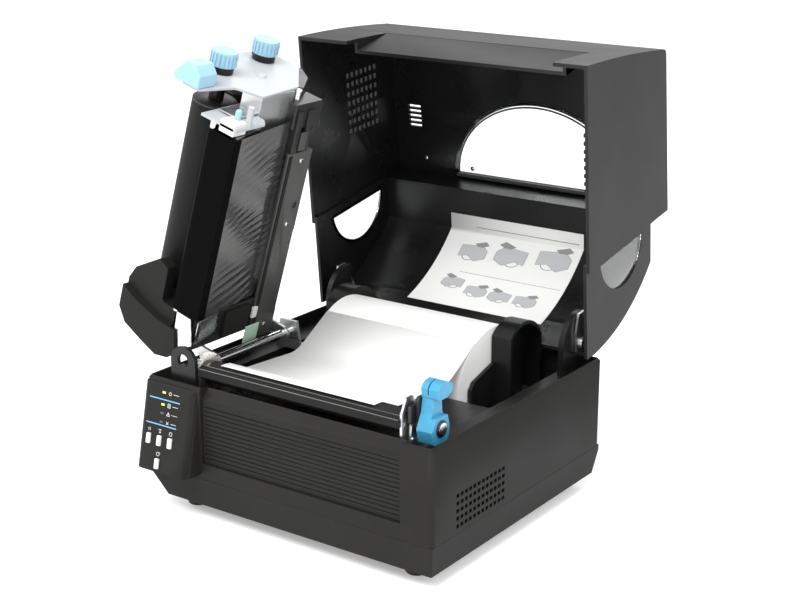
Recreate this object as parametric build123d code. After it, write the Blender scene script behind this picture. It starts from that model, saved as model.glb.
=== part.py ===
from build123d import *
import math
import os

os.makedirs("parts", exist_ok=True)

# Desktop thermal transfer label printer, in millimetres, shown as it is when it is loaded:
# the cover stands open and the print unit is swung up on the left.
# X runs to the printer's right as its user sees it, Y to the back and Z up, with Z = 0 on the desk.
# Every piece is drawn where it lies in the closed printer. The cover and the print unit are then swung open.

# Where the case's centre stands in the part's own frame.
# The origin is under the middle of the open printer.
CASE_X = 30.68
CASE_Y = -45.59

# Case
CASE_W = 280.0
CASE_D = 250.0
FOOT_H = 11.5
SEAM_Z = 35.5
RIM_Z = 112.5
WALL = 3.0
CORNER_R = 5.0
INNER_CORNER_R = 2.5
RIM_STEP_W = 1.5
RIM_STEP_H = 1.6
TRAY_LEFT_INSET = 17.0
TRAY_BEVEL_H = 18.0
TRAY_RIGHT_INSET = 1.5
TRAY_BACK_INSET = 8.0
FOOT_R = 9.0
FOOT_IN_X = 30.0
FOOT_IN_Y = 24.0

# Front door
DOOR_X0 = -CASE_W / 2 + 57.0
DOOR_X1 = CASE_W / 2 - 28.5
DOOR_Z0 = 48.5
DOOR_Z1 = 110.5
DOOR_T = 3.0
DOOR_RECESS = 2.5
DOOR_GAP = 0.4
DOOR_TOP_R = 8.0
GROOVES = 13
GROOVE_W = 1.0
GROOVE_DEPTH = 0.8
GROOVE_Z0 = 53.0
GROOVE_PITCH = 3.6

# Side ventilation grille
VENT_COLUMNS = 12
VENT_ROWS = 5
VENT_PITCH_Y = 5.74
VENT_PITCH_Z = 6.1
VENT_HOLE_Y = 3.9
VENT_HOLE_Z = 3.2
VENT_Y0 = -CASE_D / 2 + 33.4
VENT_Z0 = 41.7

# Control panel
PANEL_X0 = -CASE_W / 2
PANEL_X1 = PANEL_X0 + 55.0
PANEL_Z0 = 39.0
PANEL_Z1 = 110.0
PANEL_FOOT = 17.5
PANEL_TOP = 2.5
PANEL_T = 2.4
PANEL_R = 6.0
BUTTON_W = 4.2
BUTTON_H = 8.6
BUTTON_GAP = 0.3
BUTTON_PROUD = 1.4
BUTTON_TRAVEL = 1.0
BUTTON_T = 5.0
BUTTON_COLUMNS = (PANEL_X0 + 11.2, PANEL_X0 + 22.7, PANEL_X0 + 34.2)
BUTTON_ROW = 26.0
MODE_BUTTON = (PANEL_X0 + 22.7, 7.0)
LIGHT_X = PANEL_X0 + 23.0
LIGHT_ROWS = (65.6, 55.8, 48.8, 41.6)
LIGHT_W = 3.2
LIGHT_H = 1.6
LIGHT_PROUD = 0.3

# Media: roll, web and well
WEB_X0 = -78.5
WEB_X1 = 72.5
ROLL_Y = CASE_D / 2 - 64.0
ROLL_Z = 90.5
ROLL_R = 53.0
CORE_R = 19.5
CORE_BORE = 13.2
WELL_GAP = 2.5
WELL_X = CASE_W / 2 - 27.5
WELL_T = 2.5
WELL_FRONT = -CASE_D / 2 + 67.0
WELL_SHELF = 97.0
DECK_Z = 100.0
DECK_T = 2.5
WEB_T = 0.4
WEB_LEAVE = 120.0
WEB_LOW_Z = 112.6
WEB_BEND_R = 34.0
WEB_END = -CASE_D / 2 + 21.5

# Platen and side plates
PLATEN_Y = -CASE_D / 2 + 28.0
PLATEN_Z = 116.6
PLATEN_R = 9.0
SIDE_X0 = -CASE_W / 2 + 44.0
SIDE_X1 = CASE_W / 2 - 38.0
PLATEN_X0 = SIDE_X0 + 4.0
PLATEN_X1 = SIDE_X1 - 4.0
SHAFT_R = 3.0
NIP_GAP = 0.3
SIDE_T = 2.0
SIDE_Y0 = PLATEN_Y - 15.0
SIDE_Y1 = PLATEN_Y + 33.0
SIDE_TOP = 128.0
SIDE_TAB_TOP = 139.0
BUSH_R = 5.5
BUSH_FLANGE_R = 8.0
FIT = 0.05
TEAR_Y0 = PLATEN_Y - 17.0
TEAR_Y1 = PLATEN_Y - 10.2
TEAR_Z0 = 117.5
TEAR_Z1 = 125.2

# Gear train
MODULE = 1.0
PLATEN_TEETH = 28
IDLER_TEETH = 36
PINION_TEETH = 16
GEAR_T = 4.0
GEAR_X1 = SIDE_X0 - 0.8
BACKLASH = 0.22
MOTOR_Y = PLATEN_Y + 11.0
MOTOR_Z = 62.0
MOTOR_SIZE = 42.0
MOTOR_L = 38.0
MOTOR_SHAFT_R = 2.5
MOTOR_BOSS_R = 11.0

# Media guides
GUIDE_T = 18.0
GUIDE_GAP = 1.0
GUIDE_OUT = 13.0
GUIDE_Y0 = ROLL_Y - 3.0
GUIDE_Y1 = ROLL_Y + 47.0
GUIDE_TOP = 147.0
GUIDE_WALL = 3.0
WING_Y0 = ROLL_Y - 38.0
HUB_R = 12.6
HUB_L = 16.0
RACK_Z = 19.0
RACK_T = 4.0
RACK_W = 7.0
RACK_PAST = 24.0
GUIDE_PINION_TEETH = 16
GUIDE_PINION_Y = ROLL_Y + 19.0
LEG_TOP = 75.0
RAIL_HALF = 100.0
LEG_W = 10.0

# Head-lock lever
LEVER_Y = PLATEN_Y + 2.0
LEVER_Z = 117.0
LEVER_X0 = CASE_W / 2 - 27.0
LEVER_X1 = CASE_W / 2 - 13.0
LEVER_PIN_R = 3.0
LEVER_PLATE_X = CASE_W / 2 - 33.5
LOCK_SWING = 15.0
HOOK_X0 = CASE_W / 2 - 30.5
HOOK_X1 = CASE_W / 2 - 27.5
PADDLE_Z0 = 140.0
PADDLE_Z1 = 153.0

# Cover, in the closed position
HINGE_Y = CASE_D / 2 - 9.0
HINGE_Z = 125.5
COVER_OPEN = 84.8
COVER_X0 = -CASE_W / 2 - 4.5
COVER_X1 = CASE_W / 2
COVER_Z = 113.2
COVER_BACK = CASE_D / 2 - 9.9
COVER_LEN = CASE_D - 13.3
COVER_T = 3.0
COVER_TOP_H = 138.5
COVER_FRONT_TOP = COVER_LEN - 14.2
COVER_FRONT_BULGE = (COVER_LEN - 4.9, 60.0)
HOOD_BACK_LOW = 66.5
HOOD_BACK_HIGH = 77.5
REAR_TOP_H = 112.5
REAR_FLAT = 40.0
REAR_SLOT_H = 5.0
REAR_BULGE = (3.2, 59.7)
REAR_LOW = (-9.3, 10.0)
TOP_CORNER_R = 6.0
TOP_FALL = 0.035
EXIT_X0 = SIDE_X0 + 4.0
EXIT_X1 = CASE_W / 2 - 30.5
EXIT_H = 15.0
SCOOP_H = 58.0
SCOOP_IN = 9.5
TOP_WINDOW_X = 14.0
TOP_WINDOW_W = 176.0
TOP_WINDOW_L = 72.0
TOP_WINDOW_F = 87.5
WINDOW_LIP = 3.0
SIDE_WINDOW_LOW = (67.2, 23.8)
SIDE_WINDOW_HIGH = (73.5, 95.7)
SIDE_WINDOW_BULGE = (35.0, 62.0)
HINGE_PIN_R = 2.5
CHEEK_X = CASE_W / 2 - 22.0
CHEEK_T = 5.0
CHEEK_R = 27.0
ARM_T = 2.0
LAP = 6.0
COVER_VENTS = 7
COVER_VENT_F = 136.0
COVER_VENT_PITCH = 8.6
COVER_VENT_H = 62.0
COVER_VENT_RISE = 6.8
LOUVRES = 5
LOUVRE_F = 127.0
LOUVRE_PITCH = 4.6
LOUVRE_X = COVER_X0 + 24.5
LOUVRE_W = 14.0

# Print unit, in the closed position
UNIT_X = -CASE_W / 2 + 32.0
UNIT_Z = 117.8
UNIT_UP = 73.2
UNIT_SHAFT_R = 4.0
UNIT_SHAFT_Y0 = PLATEN_Y - 18.2
UNIT_SHAFT_Y1 = PLATEN_Y + 119.0
END_U = CASE_W - 59.0
HEAD_U0 = 16.0
HEAD_U1 = END_U - 23.0
FILM_U0 = 38.0
FILM_U1 = END_U - 24.0
FILM_T = 0.4
END_T = 2.0
TAKEUP_Y = PLATEN_Y + 41.0
TAKEUP_W = 70.0
TAKEUP_R = 18.5
SUPPLY_Y = PLATEN_Y + 99.0
SUPPLY_W = 76.0
SUPPLY_R = 33.0
SPINDLE_R = 6.0
RIBBON_CORE_R = 13.0
KNOB_R = 11.0
KNOB_L = 12.0
KNOB_RIBS = 20
FLANGE_R = 9.5
FLANGE_T = 5.5
BAR_Y0 = PLATEN_Y + 74.0
BAR_Y1 = PLATEN_Y + 104.5
BAR_W = 11.5
BAR_T = 4.0
BAR_U0 = -4.0
BAR_U1 = 170.0
GUIDE_ROD_Y = PLATEN_Y + 81.5
GUIDE_ROD_W = 22.5
GUIDE_ROD_R = 3.0
FRONT_ROD_Y = PLATEN_Y
FRONT_ROD_W = 34.0
HOUSING_Y0 = PLATEN_Y - 7.0
HOUSING_Y1 = PLATEN_Y + 111.0
HOUSING_T = 2.5
HOUSING_STEP = 6.0
HOUSING_END = 36.0
HOUSING_FRONT = PLATEN_Y + 9.0
LATCH_PIN_Y = PLATEN_Y + 13.0
LATCH_PIN_R = 2.5
LATCH_Z = 130.0
BRACKET_Y0 = PLATEN_Y - 19.0
BRACKET_T = 3.6
BRACKET_R = 13.0
BRACKET_LIFT = 9.0
END_LEFT = 22.0
END_LOW_W = 26.0
EAR_W = 17.5
EAR_R = 6.5
EAR_T = 3.0
EAR_FRONT_Y = PLATEN_Y + 17.0
EAR_BACK_Y = PLATEN_Y + 105.0
BEAM_Y0 = PLATEN_Y + 37.0
BEAM_Y1 = PLATEN_Y + 77.0
BEAM_W0 = 22.0
BEAM_W1 = 42.0
HEAD_ARM_U = END_U - 18.0
LUGS = ((PLATEN_Y + 18.0, 76.0), (PLATEN_Y + 67.0, 50.0), (PLATEN_Y + 73.0, 86.0))

# Instruction sheet inside the cover
SHEET_X0 = -67.0
SHEET_X1 = 73.0
SHEET_T = 0.4
SHEET_F = 55.5
SHEET_H = 33.0

# Rear connectors and electronics
INLET_FRONT = CASE_D / 2 - 14.5
SWITCH_SWING = 16.0
BOARD_X0 = -50.0
BOARD_X1 = CASE_W / 2 - 15.0
BOARD_Y0 = -CASE_D / 2 + 11.0
BOARD_Y1 = -CASE_D / 2 + 57.0
BOARD_Z = 24.0

LEFT = -CASE_W / 2
RIGHT = CASE_W / 2
FRONT = -CASE_D / 2
BACK = CASE_D / 2
PLATEN_TOP = PLATEN_Z + PLATEN_R
FILM_Z = PLATEN_TOP + NIP_GAP + WEB_T + NIP_GAP
HEAD_Z = FILM_Z + FILM_T + NIP_GAP

bodies = {}
frame_plates = []
fixed_pins = []


def keep(name, shape):
    """Remembers a finished piece under its node's name."""
    bodies[name] = shape


def group(pieces):
    """Several loose solids kept as one piece."""
    return Compound([solid for piece in pieces for solid in piece.solids()])


def block(x0, x1, y0, y1, z0, z1):
    """A rectangular solid between two corners."""
    return Pos((x0 + x1) / 2, (y0 + y1) / 2, (z0 + z1) / 2) * Box(x1 - x0, y1 - y0, z1 - z0)


def loop(points, radius=0.0):
    """A closed outline through points, its corners rounded by radius."""
    if radius:
        return FilletPolyline(*points, radius=radius, close=True)
    return Polyline(*points, close=True)


def along_x(outline, x0, x1):
    """The solid that an outline in Y and Z sweeps from x0 to x1."""
    return Pos(x0, 0, 0) * extrude(make_face(Plane.YZ * outline), amount=x1 - x0, dir=(1, 0, 0))


def along_y(outline, y0, y1):
    """The solid that an outline in X and Z sweeps from y0 to y1."""
    return Pos(0, y0, 0) * extrude(make_face(Plane.XZ * outline), amount=y1 - y0, dir=(0, 1, 0))


def along_z(outline, z0, z1):
    """The solid that an outline in X and Y sweeps from z0 to z1."""
    return Pos(0, 0, z0) * extrude(make_face(outline), amount=z1 - z0, dir=(0, 0, 1))


def rod_x(x0, x1, y, z, radius):
    """A round bar along X."""
    return Pos((x0 + x1) / 2, y, z) * Rot(0, 90, 0) * Cylinder(radius, x1 - x0)


def rod_y(y0, y1, x, z, radius):
    """A round bar along Y."""
    return Pos(x, (y0 + y1) / 2, z) * Rot(90, 0, 0) * Cylinder(radius, y1 - y0)


def rod_z(z0, z1, x, y, radius):
    """A round bar along Z."""
    return Pos(x, y, (z0 + z1) / 2) * Cylinder(radius, z1 - z0)


def opened(shape):
    """Swings a piece of the cover from closed to open."""
    return shape.rotate(Axis((0, HINGE_Y, HINGE_Z), (1, 0, 0)), -COVER_OPEN)


def raised(shape):
    """Swings a piece of the print unit from closed to raised."""
    return shape.rotate(Axis((UNIT_X, 0, UNIT_Z), (0, 1, 0)), -UNIT_UP)


def gear_outline(teeth, turn):
    """A spur gear's outline with involute flanks. turn is the angle of one tooth's middle."""
    pitch_r = MODULE * teeth / 2
    base_r = pitch_r * math.cos(math.radians(20))
    tip_r = pitch_r + MODULE * 0.95
    root_r = pitch_r - MODULE * 1.2
    half_pitch = (math.pi * MODULE / 2 - BACKLASH) / (2 * pitch_r)

    def spread(radius):
        cosine = min(1.0, base_r / radius)
        angle = math.acos(cosine)
        return math.tan(angle) - angle

    at_pitch = spread(pitch_r)
    points = []
    for number in range(teeth):
        middle = math.radians(turn) + 2 * math.pi * number / teeth
        start = max(root_r, base_r)
        flank = [root_r, (start + pitch_r) / 2, (pitch_r + tip_r) / 2, tip_r]
        for radius in flank:
            half = half_pitch + at_pitch - spread(max(radius, base_r))
            points.append((radius * math.cos(middle - half), radius * math.sin(middle - half)))
        for radius in reversed(flank):
            half = half_pitch + at_pitch - spread(max(radius, base_r))
            points.append((radius * math.cos(middle + half), radius * math.sin(middle + half)))
    return Polyline(*points, close=True)


def gear(teeth, x0, x1, y, z, bore, turn):
    """A spur gear on an X axis, turned from +Y."""
    solid = along_x(gear_outline(teeth, turn), x0, x1) - rod_x(x0 - 1, x1 + 1, 0, 0, bore)
    return Pos(0, y, z) * solid


def mesh_turn(teeth, other_turn, other_teeth, direction):
    """The turn of a gear that meshes with another one, seen from that one along direction degrees."""
    other_step = 360.0 / other_teeth
    offset = (direction - other_turn) / other_step
    part = offset - math.floor(offset)
    step = 360.0 / teeth
    return direction + 180.0 + (part - 0.5) * step


def third_point(a, b, from_a, from_b):
    """The point at two given distances from a and b, on the back side of the line between them."""
    span = math.dist(a, b)
    along = (from_a ** 2 - from_b ** 2 + span ** 2) / (2 * span)
    away = math.sqrt(from_a ** 2 - along ** 2)
    ux = (b[0] - a[0]) / span
    uy = (b[1] - a[1]) / span
    one = (a[0] + ux * along - uy * away, a[1] + uy * along + ux * away)
    two = (a[0] + ux * along + uy * away, a[1] + uy * along - ux * away)
    return max(one, two)


def strip(points, thickness):
    """The closed outline of a band of even thickness on the left of a line of points."""
    shifted = []
    for number, point in enumerate(points):
        normals = []
        for a, b in ((number - 1, number), (number, number + 1)):
            if a >= 0 and b < len(points):
                length = math.dist(points[a], points[b])
                normals.append(((points[a][1] - points[b][1]) / length, (points[b][0] - points[a][0]) / length))
        nx = sum(normal[0] for normal in normals) / len(normals)
        ny = sum(normal[1] for normal in normals) / len(normals)
        scale = thickness / (nx * nx + ny * ny)
        shifted.append((point[0] + nx * scale, point[1] + ny * scale))
    return Polyline(*points, *reversed(shifted), close=True)


def tangent_point(point, centre, radius, side):
    """Where a line from point touches a circle: side is 1 for the left of the way to the centre, else -1."""
    reach = math.dist(point, centre)
    toward = math.atan2(point[1] - centre[1], point[0] - centre[0])
    angle = toward - side * math.acos(radius / reach)
    return (centre[0] + radius * math.cos(angle), centre[1] + radius * math.sin(angle))


def tray_form(inset, top):
    """The lower tray's outer form, or with an inset its hollow."""
    floor = FOOT_H + inset
    front_view = loop([
        (LEFT + inset, top),
        (LEFT + inset, FOOT_H + TRAY_BEVEL_H),
        (LEFT + TRAY_LEFT_INSET + inset, floor),
        (RIGHT - TRAY_RIGHT_INSET - inset, floor),
        (RIGHT - inset, top),
    ])
    side_view = loop([
        (FRONT + inset, top),
        (FRONT + inset + TRAY_RIGHT_INSET, floor),
        (BACK - TRAY_BACK_INSET - inset, floor),
        (BACK - inset, FOOT_H + TRAY_BEVEL_H),
        (BACK - inset, top),
    ])
    return along_y(front_view, FRONT, BACK) & along_x(side_view, LEFT, RIGHT)


def foot_places():
    """The four feet's centres."""
    places = []
    for x in (LEFT + FOOT_IN_X, RIGHT - FOOT_IN_X):
        for y in (FRONT + FOOT_IN_Y, BACK - FOOT_IN_Y):
            places.append((x, y))
    return places


def make_tray():
    tray = tray_form(0.0, SEAM_Z) - tray_form(WALL, SEAM_Z + 1)
    keep("lower_tray", tray)
    feet = []
    for x, y in foot_places():
        foot = rod_z(0, FOOT_H, x, y, FOOT_R)
        feet.append(chamfer(foot.edges().filter_by(GeomType.CIRCLE).sort_by(Axis.Z)[0], 1.2))
    keep("rubber_feet", group(feet))


def port_openings():
    """The rear openings, each with its node, its X range and its Z range."""
    return {
        "power_inlet": (LEFT + 28.0, LEFT + 56.0, 38.5, 58.5),
        "power_switch": (LEFT + 64.0, LEFT + 78.0, 38.5, 58.5),
        "interface_ports": (10.0, 84.0, 38.5, 56.5),
    }


def make_case():
    outer = extrude(RectangleRounded(CASE_W, CASE_D, CORNER_R), RIM_Z - SEAM_Z)
    inner = extrude(RectangleRounded(CASE_W - 2 * WALL, CASE_D - 2 * WALL, INNER_CORNER_R), RIM_Z - SEAM_Z)
    lip = RectangleRounded(CASE_W - 2 * RIM_STEP_W, CASE_D - 2 * RIM_STEP_W, CORNER_R - RIM_STEP_W)
    lip = extrude(lip, RIM_STEP_H)
    rim = extrude(RectangleRounded(CASE_W, CASE_D, CORNER_R), RIM_STEP_H) - lip
    case = Pos(0, 0, SEAM_Z) * (outer - inner) - Pos(0, 0, RIM_Z - RIM_STEP_H) * rim
    case -= block(DOOR_X0, DOOR_X1, FRONT - 1, FRONT + WALL + 1, DOOR_Z0, RIM_Z + 1)
    returns = block(DOOR_X0 - WALL, DOOR_X0, FRONT + WALL, FRONT + 3 * WALL, DOOR_Z0 - WALL, DOOR_Z1)
    returns += block(DOOR_X1, DOOR_X1 + WALL, FRONT + WALL, FRONT + 3 * WALL, DOOR_Z0 - WALL, DOOR_Z1)
    returns += block(DOOR_X0, DOOR_X1, FRONT + WALL, FRONT + 3 * WALL, DOOR_Z0 - WALL, DOOR_Z0)
    case += returns
    holes = []
    for column in range(VENT_COLUMNS):
        for row in range(VENT_ROWS):
            y = VENT_Y0 + column * VENT_PITCH_Y
            z = VENT_Z0 + row * VENT_PITCH_Z
            holes.append(block(
                RIGHT - WALL - 1, RIGHT + 1,
                y - VENT_HOLE_Y / 2, y + VENT_HOLE_Y / 2,
                z - VENT_HOLE_Z / 2, z + VENT_HOLE_Z / 2,
            ))
    case -= holes
    for x0, x1, z0, z1 in port_openings().values():
        case -= block(x0, x1, BACK - WALL - 1, BACK + 1, z0, z1)
    keep("upper_case", case)


def make_door():
    face = FRONT + DOOR_RECESS
    outline = make_face(Plane.YZ * Polyline(
        (face, DOOR_Z0 + DOOR_GAP),
        (face, DOOR_Z1 - DOOR_TOP_R),
        (face + DOOR_TOP_R, DOOR_Z1),
        (face + DOOR_TOP_R, DOOR_Z1 - DOOR_T),
        (face + DOOR_T, DOOR_Z1 - DOOR_TOP_R),
        (face + DOOR_T, DOOR_Z0 + DOOR_GAP),
        close=True,
    ))
    x0 = DOOR_X0 + DOOR_GAP
    x1 = DOOR_X1 - DOOR_GAP
    door = Pos(x0, 0, 0) * extrude(outline, amount=x1 - x0, dir=(1, 0, 0))
    corner = door.edges().filter_by(Axis.X).group_by(Axis.Y)[0].sort_by(Axis.Z)[-1]
    door = fillet(corner, DOOR_TOP_R * 0.9)
    grooves = []
    for number in range(GROOVES):
        z = GROOVE_Z0 + number * GROOVE_PITCH
        grooves.append(block(x0 + 2, x1 - 2, face - 1, face + GROOVE_DEPTH, z, z + GROOVE_W))
    keep("front_door", door - grooves)


def panel_plane():
    """The control panel's sloped face: origin at its foot, local X to the right and local Y up the slope."""
    low = (FRONT - PANEL_FOOT, PANEL_Z0)
    high = (FRONT - PANEL_TOP, PANEL_Z1)
    slope = Vector(0, high[0] - low[0], high[1] - low[1]).normalized()
    normal = Vector(1, 0, 0).cross(slope)
    return Plane(origin=(0, low[0], low[1]), x_dir=(1, 0, 0), z_dir=normal)


def make_panel():
    face = panel_plane()
    profile = loop([
        (FRONT, PANEL_Z0),
        (FRONT - PANEL_FOOT, PANEL_Z0),
        (FRONT - PANEL_TOP, PANEL_Z1),
        (FRONT, PANEL_Z1),
    ])
    shell = along_x(profile, PANEL_X0, PANEL_X1)
    front_sides = shell.faces().sort_by(Axis.X)
    side_edges = [
        front_sides[0].edges().sort_by(Axis.Y)[0],
        front_sides[-1].edges().sort_by(Axis.Y)[0],
    ]
    shell = fillet(side_edges, PANEL_R)
    shell = fillet(shell.faces().sort_by(Axis.Z)[-1].edges().sort_by(Axis.Y)[0], PANEL_TOP * 0.8)
    thin = (PANEL_FOOT - PANEL_TOP) / (PANEL_Z1 - PANEL_Z0)
    hollow_top = PANEL_Z0 + (PANEL_FOOT - 2 * PANEL_T) / thin
    housing = shell - along_x(loop([
        (FRONT + 1, PANEL_Z0 + PANEL_T),
        (FRONT - PANEL_FOOT + PANEL_T, PANEL_Z0 + PANEL_T),
        (FRONT - PANEL_T, hollow_top),
        (FRONT + 1, hollow_top),
    ]), PANEL_X0 + PANEL_T, PANEL_X1 - PANEL_T)
    spots = [(x, BUTTON_ROW) for x in BUTTON_COLUMNS]
    spots.append(MODE_BUTTON)
    depth = BUTTON_T - BUTTON_PROUD + BUTTON_TRAVEL + 0.4
    for x, t in spots:
        hole = face * Pos(x, t, 0) * Box(BUTTON_W + 2 * BUTTON_GAP, BUTTON_H + 2 * BUTTON_GAP, 2 * depth)
        housing -= hole
    lights = []
    for t in LIGHT_ROWS:
        housing -= face * Pos(LIGHT_X, t, 0) * Box(LIGHT_W, LIGHT_H, 2 * depth)
        lights.append(face * Pos(LIGHT_X, t, LIGHT_PROUD - PANEL_T / 2) * Box(LIGHT_W, LIGHT_H, PANEL_T))
    keep("control_panel", housing)
    keep("status_lights", group(lights))
    names = ("pause_button", "feed_button", "stop_button", "mode_button")
    for name, (x, t) in zip(names, spots):
        cap = extrude(RectangleRounded(BUTTON_W, BUTTON_H, 0.9), BUTTON_T)
        cap = chamfer(cap.edges().group_by(Axis.Z)[-1], 0.4)
        keep(name, face * Pos(x, t, BUTTON_PROUD - BUTTON_T) * cap)
    board_z = BUTTON_PROUD - BUTTON_T - BUTTON_TRAVEL - 0.3
    board = face * Pos((PANEL_X0 + PANEL_X1) / 2, 24.5, board_z - 0.8) * Box(
        PANEL_X1 - PANEL_X0 - 2 * PANEL_T, 40.0, 1.6)
    keep("panel_board", board)


def make_chassis():
    x_left = LEFT + WALL
    x_right = RIGHT - WALL
    y_front = FRONT + 3 * WALL + 1
    y_back = BACK - WALL
    well_back = ROLL_Y + ROLL_R + WELL_GAP
    deck = block(x_left, x_right, y_front, y_back, DECK_Z, DECK_Z + DECK_T)
    drum = ROLL_R + WELL_GAP
    thick = WELL_X + WELL_T
    for x0, x1 in ((x_left, DOOR_X0 - WALL - 1), (DOOR_X1 + WALL + 1, x_right)):
        deck += block(x0, x1, FRONT + WALL, y_front, DECK_Z, DECK_Z + DECK_T)
    deck -= block(GEAR_X1 - GEAR_T - 1.5, SIDE_X0, y_front + 1.5, SIDE_Y1 + 2, DECK_Z - 1, DECK_Z + DECK_T + 1)
    body = deck + rod_x(-thick, thick, ROLL_Y, ROLL_Z, drum + WELL_T)
    body += block(-thick, thick, WELL_FRONT - WELL_T, well_back + WELL_T, WELL_SHELF - WELL_T, DECK_Z + DECK_T)
    body &= extrude(RectangleRounded(CASE_W - 2 * WALL, CASE_D - 2 * WALL, INNER_CORNER_R), DECK_Z + DECK_T)
    hollow = rod_x(-WELL_X, WELL_X, ROLL_Y, ROLL_Z, drum)
    hollow += block(-WELL_X, WELL_X, WELL_FRONT, well_back, WELL_SHELF, DECK_Z + DECK_T + drum)
    hollow &= block(-WELL_X, WELL_X, WELL_FRONT, well_back, 0, DECK_Z + DECK_T + 1)
    chassis = body - hollow
    for x0, x1, y0, y1 in leg_slots():
        chassis -= block(x0, x1, y0, y1, 0, LEG_TOP - 15)
    keep("inner_chassis", chassis)


def leg_slots():
    """The well floor's two slots for the guides' legs, as X and Y ranges with room for the travel."""
    room = 1.0
    right_face = WEB_X1 + GUIDE_GAP
    left_face = WEB_X0 - GUIDE_GAP
    reach = GUIDE_PINION_TEETH * MODULE / 2
    right_y = GUIDE_PINION_Y + reach + MODULE * 1.3
    left_y = GUIDE_PINION_Y - reach - MODULE * 1.3
    return [
        (right_face - room, right_face + LEG_W + GUIDE_OUT + room, right_y - room, right_y + RACK_W + room),
        (left_face - LEG_W - GUIDE_OUT - room, left_face + room, left_y - RACK_W - room, left_y + room),
    ]


def bored_plate(outline, x0, x1, bores):
    """A sheet across X with round holes, each given as its Y, Z and radius."""
    plate = along_x(outline, x0, x1)
    for y, z, radius in bores:
        plate -= rod_x(x0 - 1, x1 + 1, y, z, radius)
    return plate


def make_platen():
    low = DECK_Z + DECK_T
    left = loop([(SIDE_Y0, low), (SIDE_Y0, SIDE_TOP - 4), (SIDE_Y0 + 6, SIDE_TOP),
                 (PLATEN_Y + 9, SIDE_TOP), (PLATEN_Y + 17, 112.0), (SIDE_Y1, 108.0), (SIDE_Y1, low)])
    right = loop([(SIDE_Y0, low), (SIDE_Y0, SIDE_TOP), (PLATEN_Y - 9, SIDE_TAB_TOP),
                  (PLATEN_Y - 1, SIDE_TAB_TOP), (PLATEN_Y + 9, SIDE_TOP - 6), (PLATEN_Y + 17, 112.0),
                  (SIDE_Y1, 108.0), (SIDE_Y1, low)])
    bush = (PLATEN_Y, PLATEN_Z, BUSH_R)
    frame_plates.append(bored_plate(left, SIDE_X0, SIDE_X0 + SIDE_T, [bush]))
    frame_plates.append(bored_plate(right, SIDE_X1, SIDE_X1 + SIDE_T, [bush]))
    bushes = []
    for inner, outer in ((SIDE_X0 + SIDE_T, SIDE_X0 - 0.5), (SIDE_X1, SIDE_X1 + SIDE_T + 0.5)):
        away = 1 if outer > inner else -1
        flange_x = inner - away * 1.5
        flange = rod_x(min(flange_x, inner), max(flange_x, inner), PLATEN_Y, PLATEN_Z, BUSH_FLANGE_R)
        barrel = rod_x(min(inner, outer), max(inner, outer), PLATEN_Y, PLATEN_Z, BUSH_R)
        bore = rod_x(min(inner, outer) - 3, max(inner, outer) + 3, PLATEN_Y, PLATEN_Z, SHAFT_R + FIT)
        bushes.append(flange + barrel - bore)
    keep("platen_bushes", group(bushes))
    keep("platen_shaft", rod_x(GEAR_X1 - GEAR_T - 1, SIDE_X1 + SIDE_T + 1.5, PLATEN_Y, PLATEN_Z, SHAFT_R))
    roller = rod_x(PLATEN_X0, PLATEN_X1, PLATEN_Y, PLATEN_Z, PLATEN_R) - rod_x(
        PLATEN_X0 - 1, PLATEN_X1 + 1, PLATEN_Y, PLATEN_Z, SHAFT_R)
    keep("platen_roller", roller)
    bar = loop([
        (TEAR_Y0, TEAR_Z0), (TEAR_Y0, TEAR_Z1 - 1.5), (TEAR_Y0 + 1.5, TEAR_Z1 - 1.5),
        (TEAR_Y0 + 2.0, TEAR_Z1 - 0.7), (TEAR_Y0 + 3.4, TEAR_Z1 - 0.7), (TEAR_Y0 + 3.9, TEAR_Z1),
        (TEAR_Y1, TEAR_Z1), (TEAR_Y1 - 0.5, TEAR_Z0 + 3), (TEAR_Y1 - 2, TEAR_Z0 + 3), (TEAR_Y1 - 2, TEAR_Z0),
    ])
    keep("tear_bar", along_x(bar, SIDE_X0 + SIDE_T, SIDE_X1))


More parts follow.
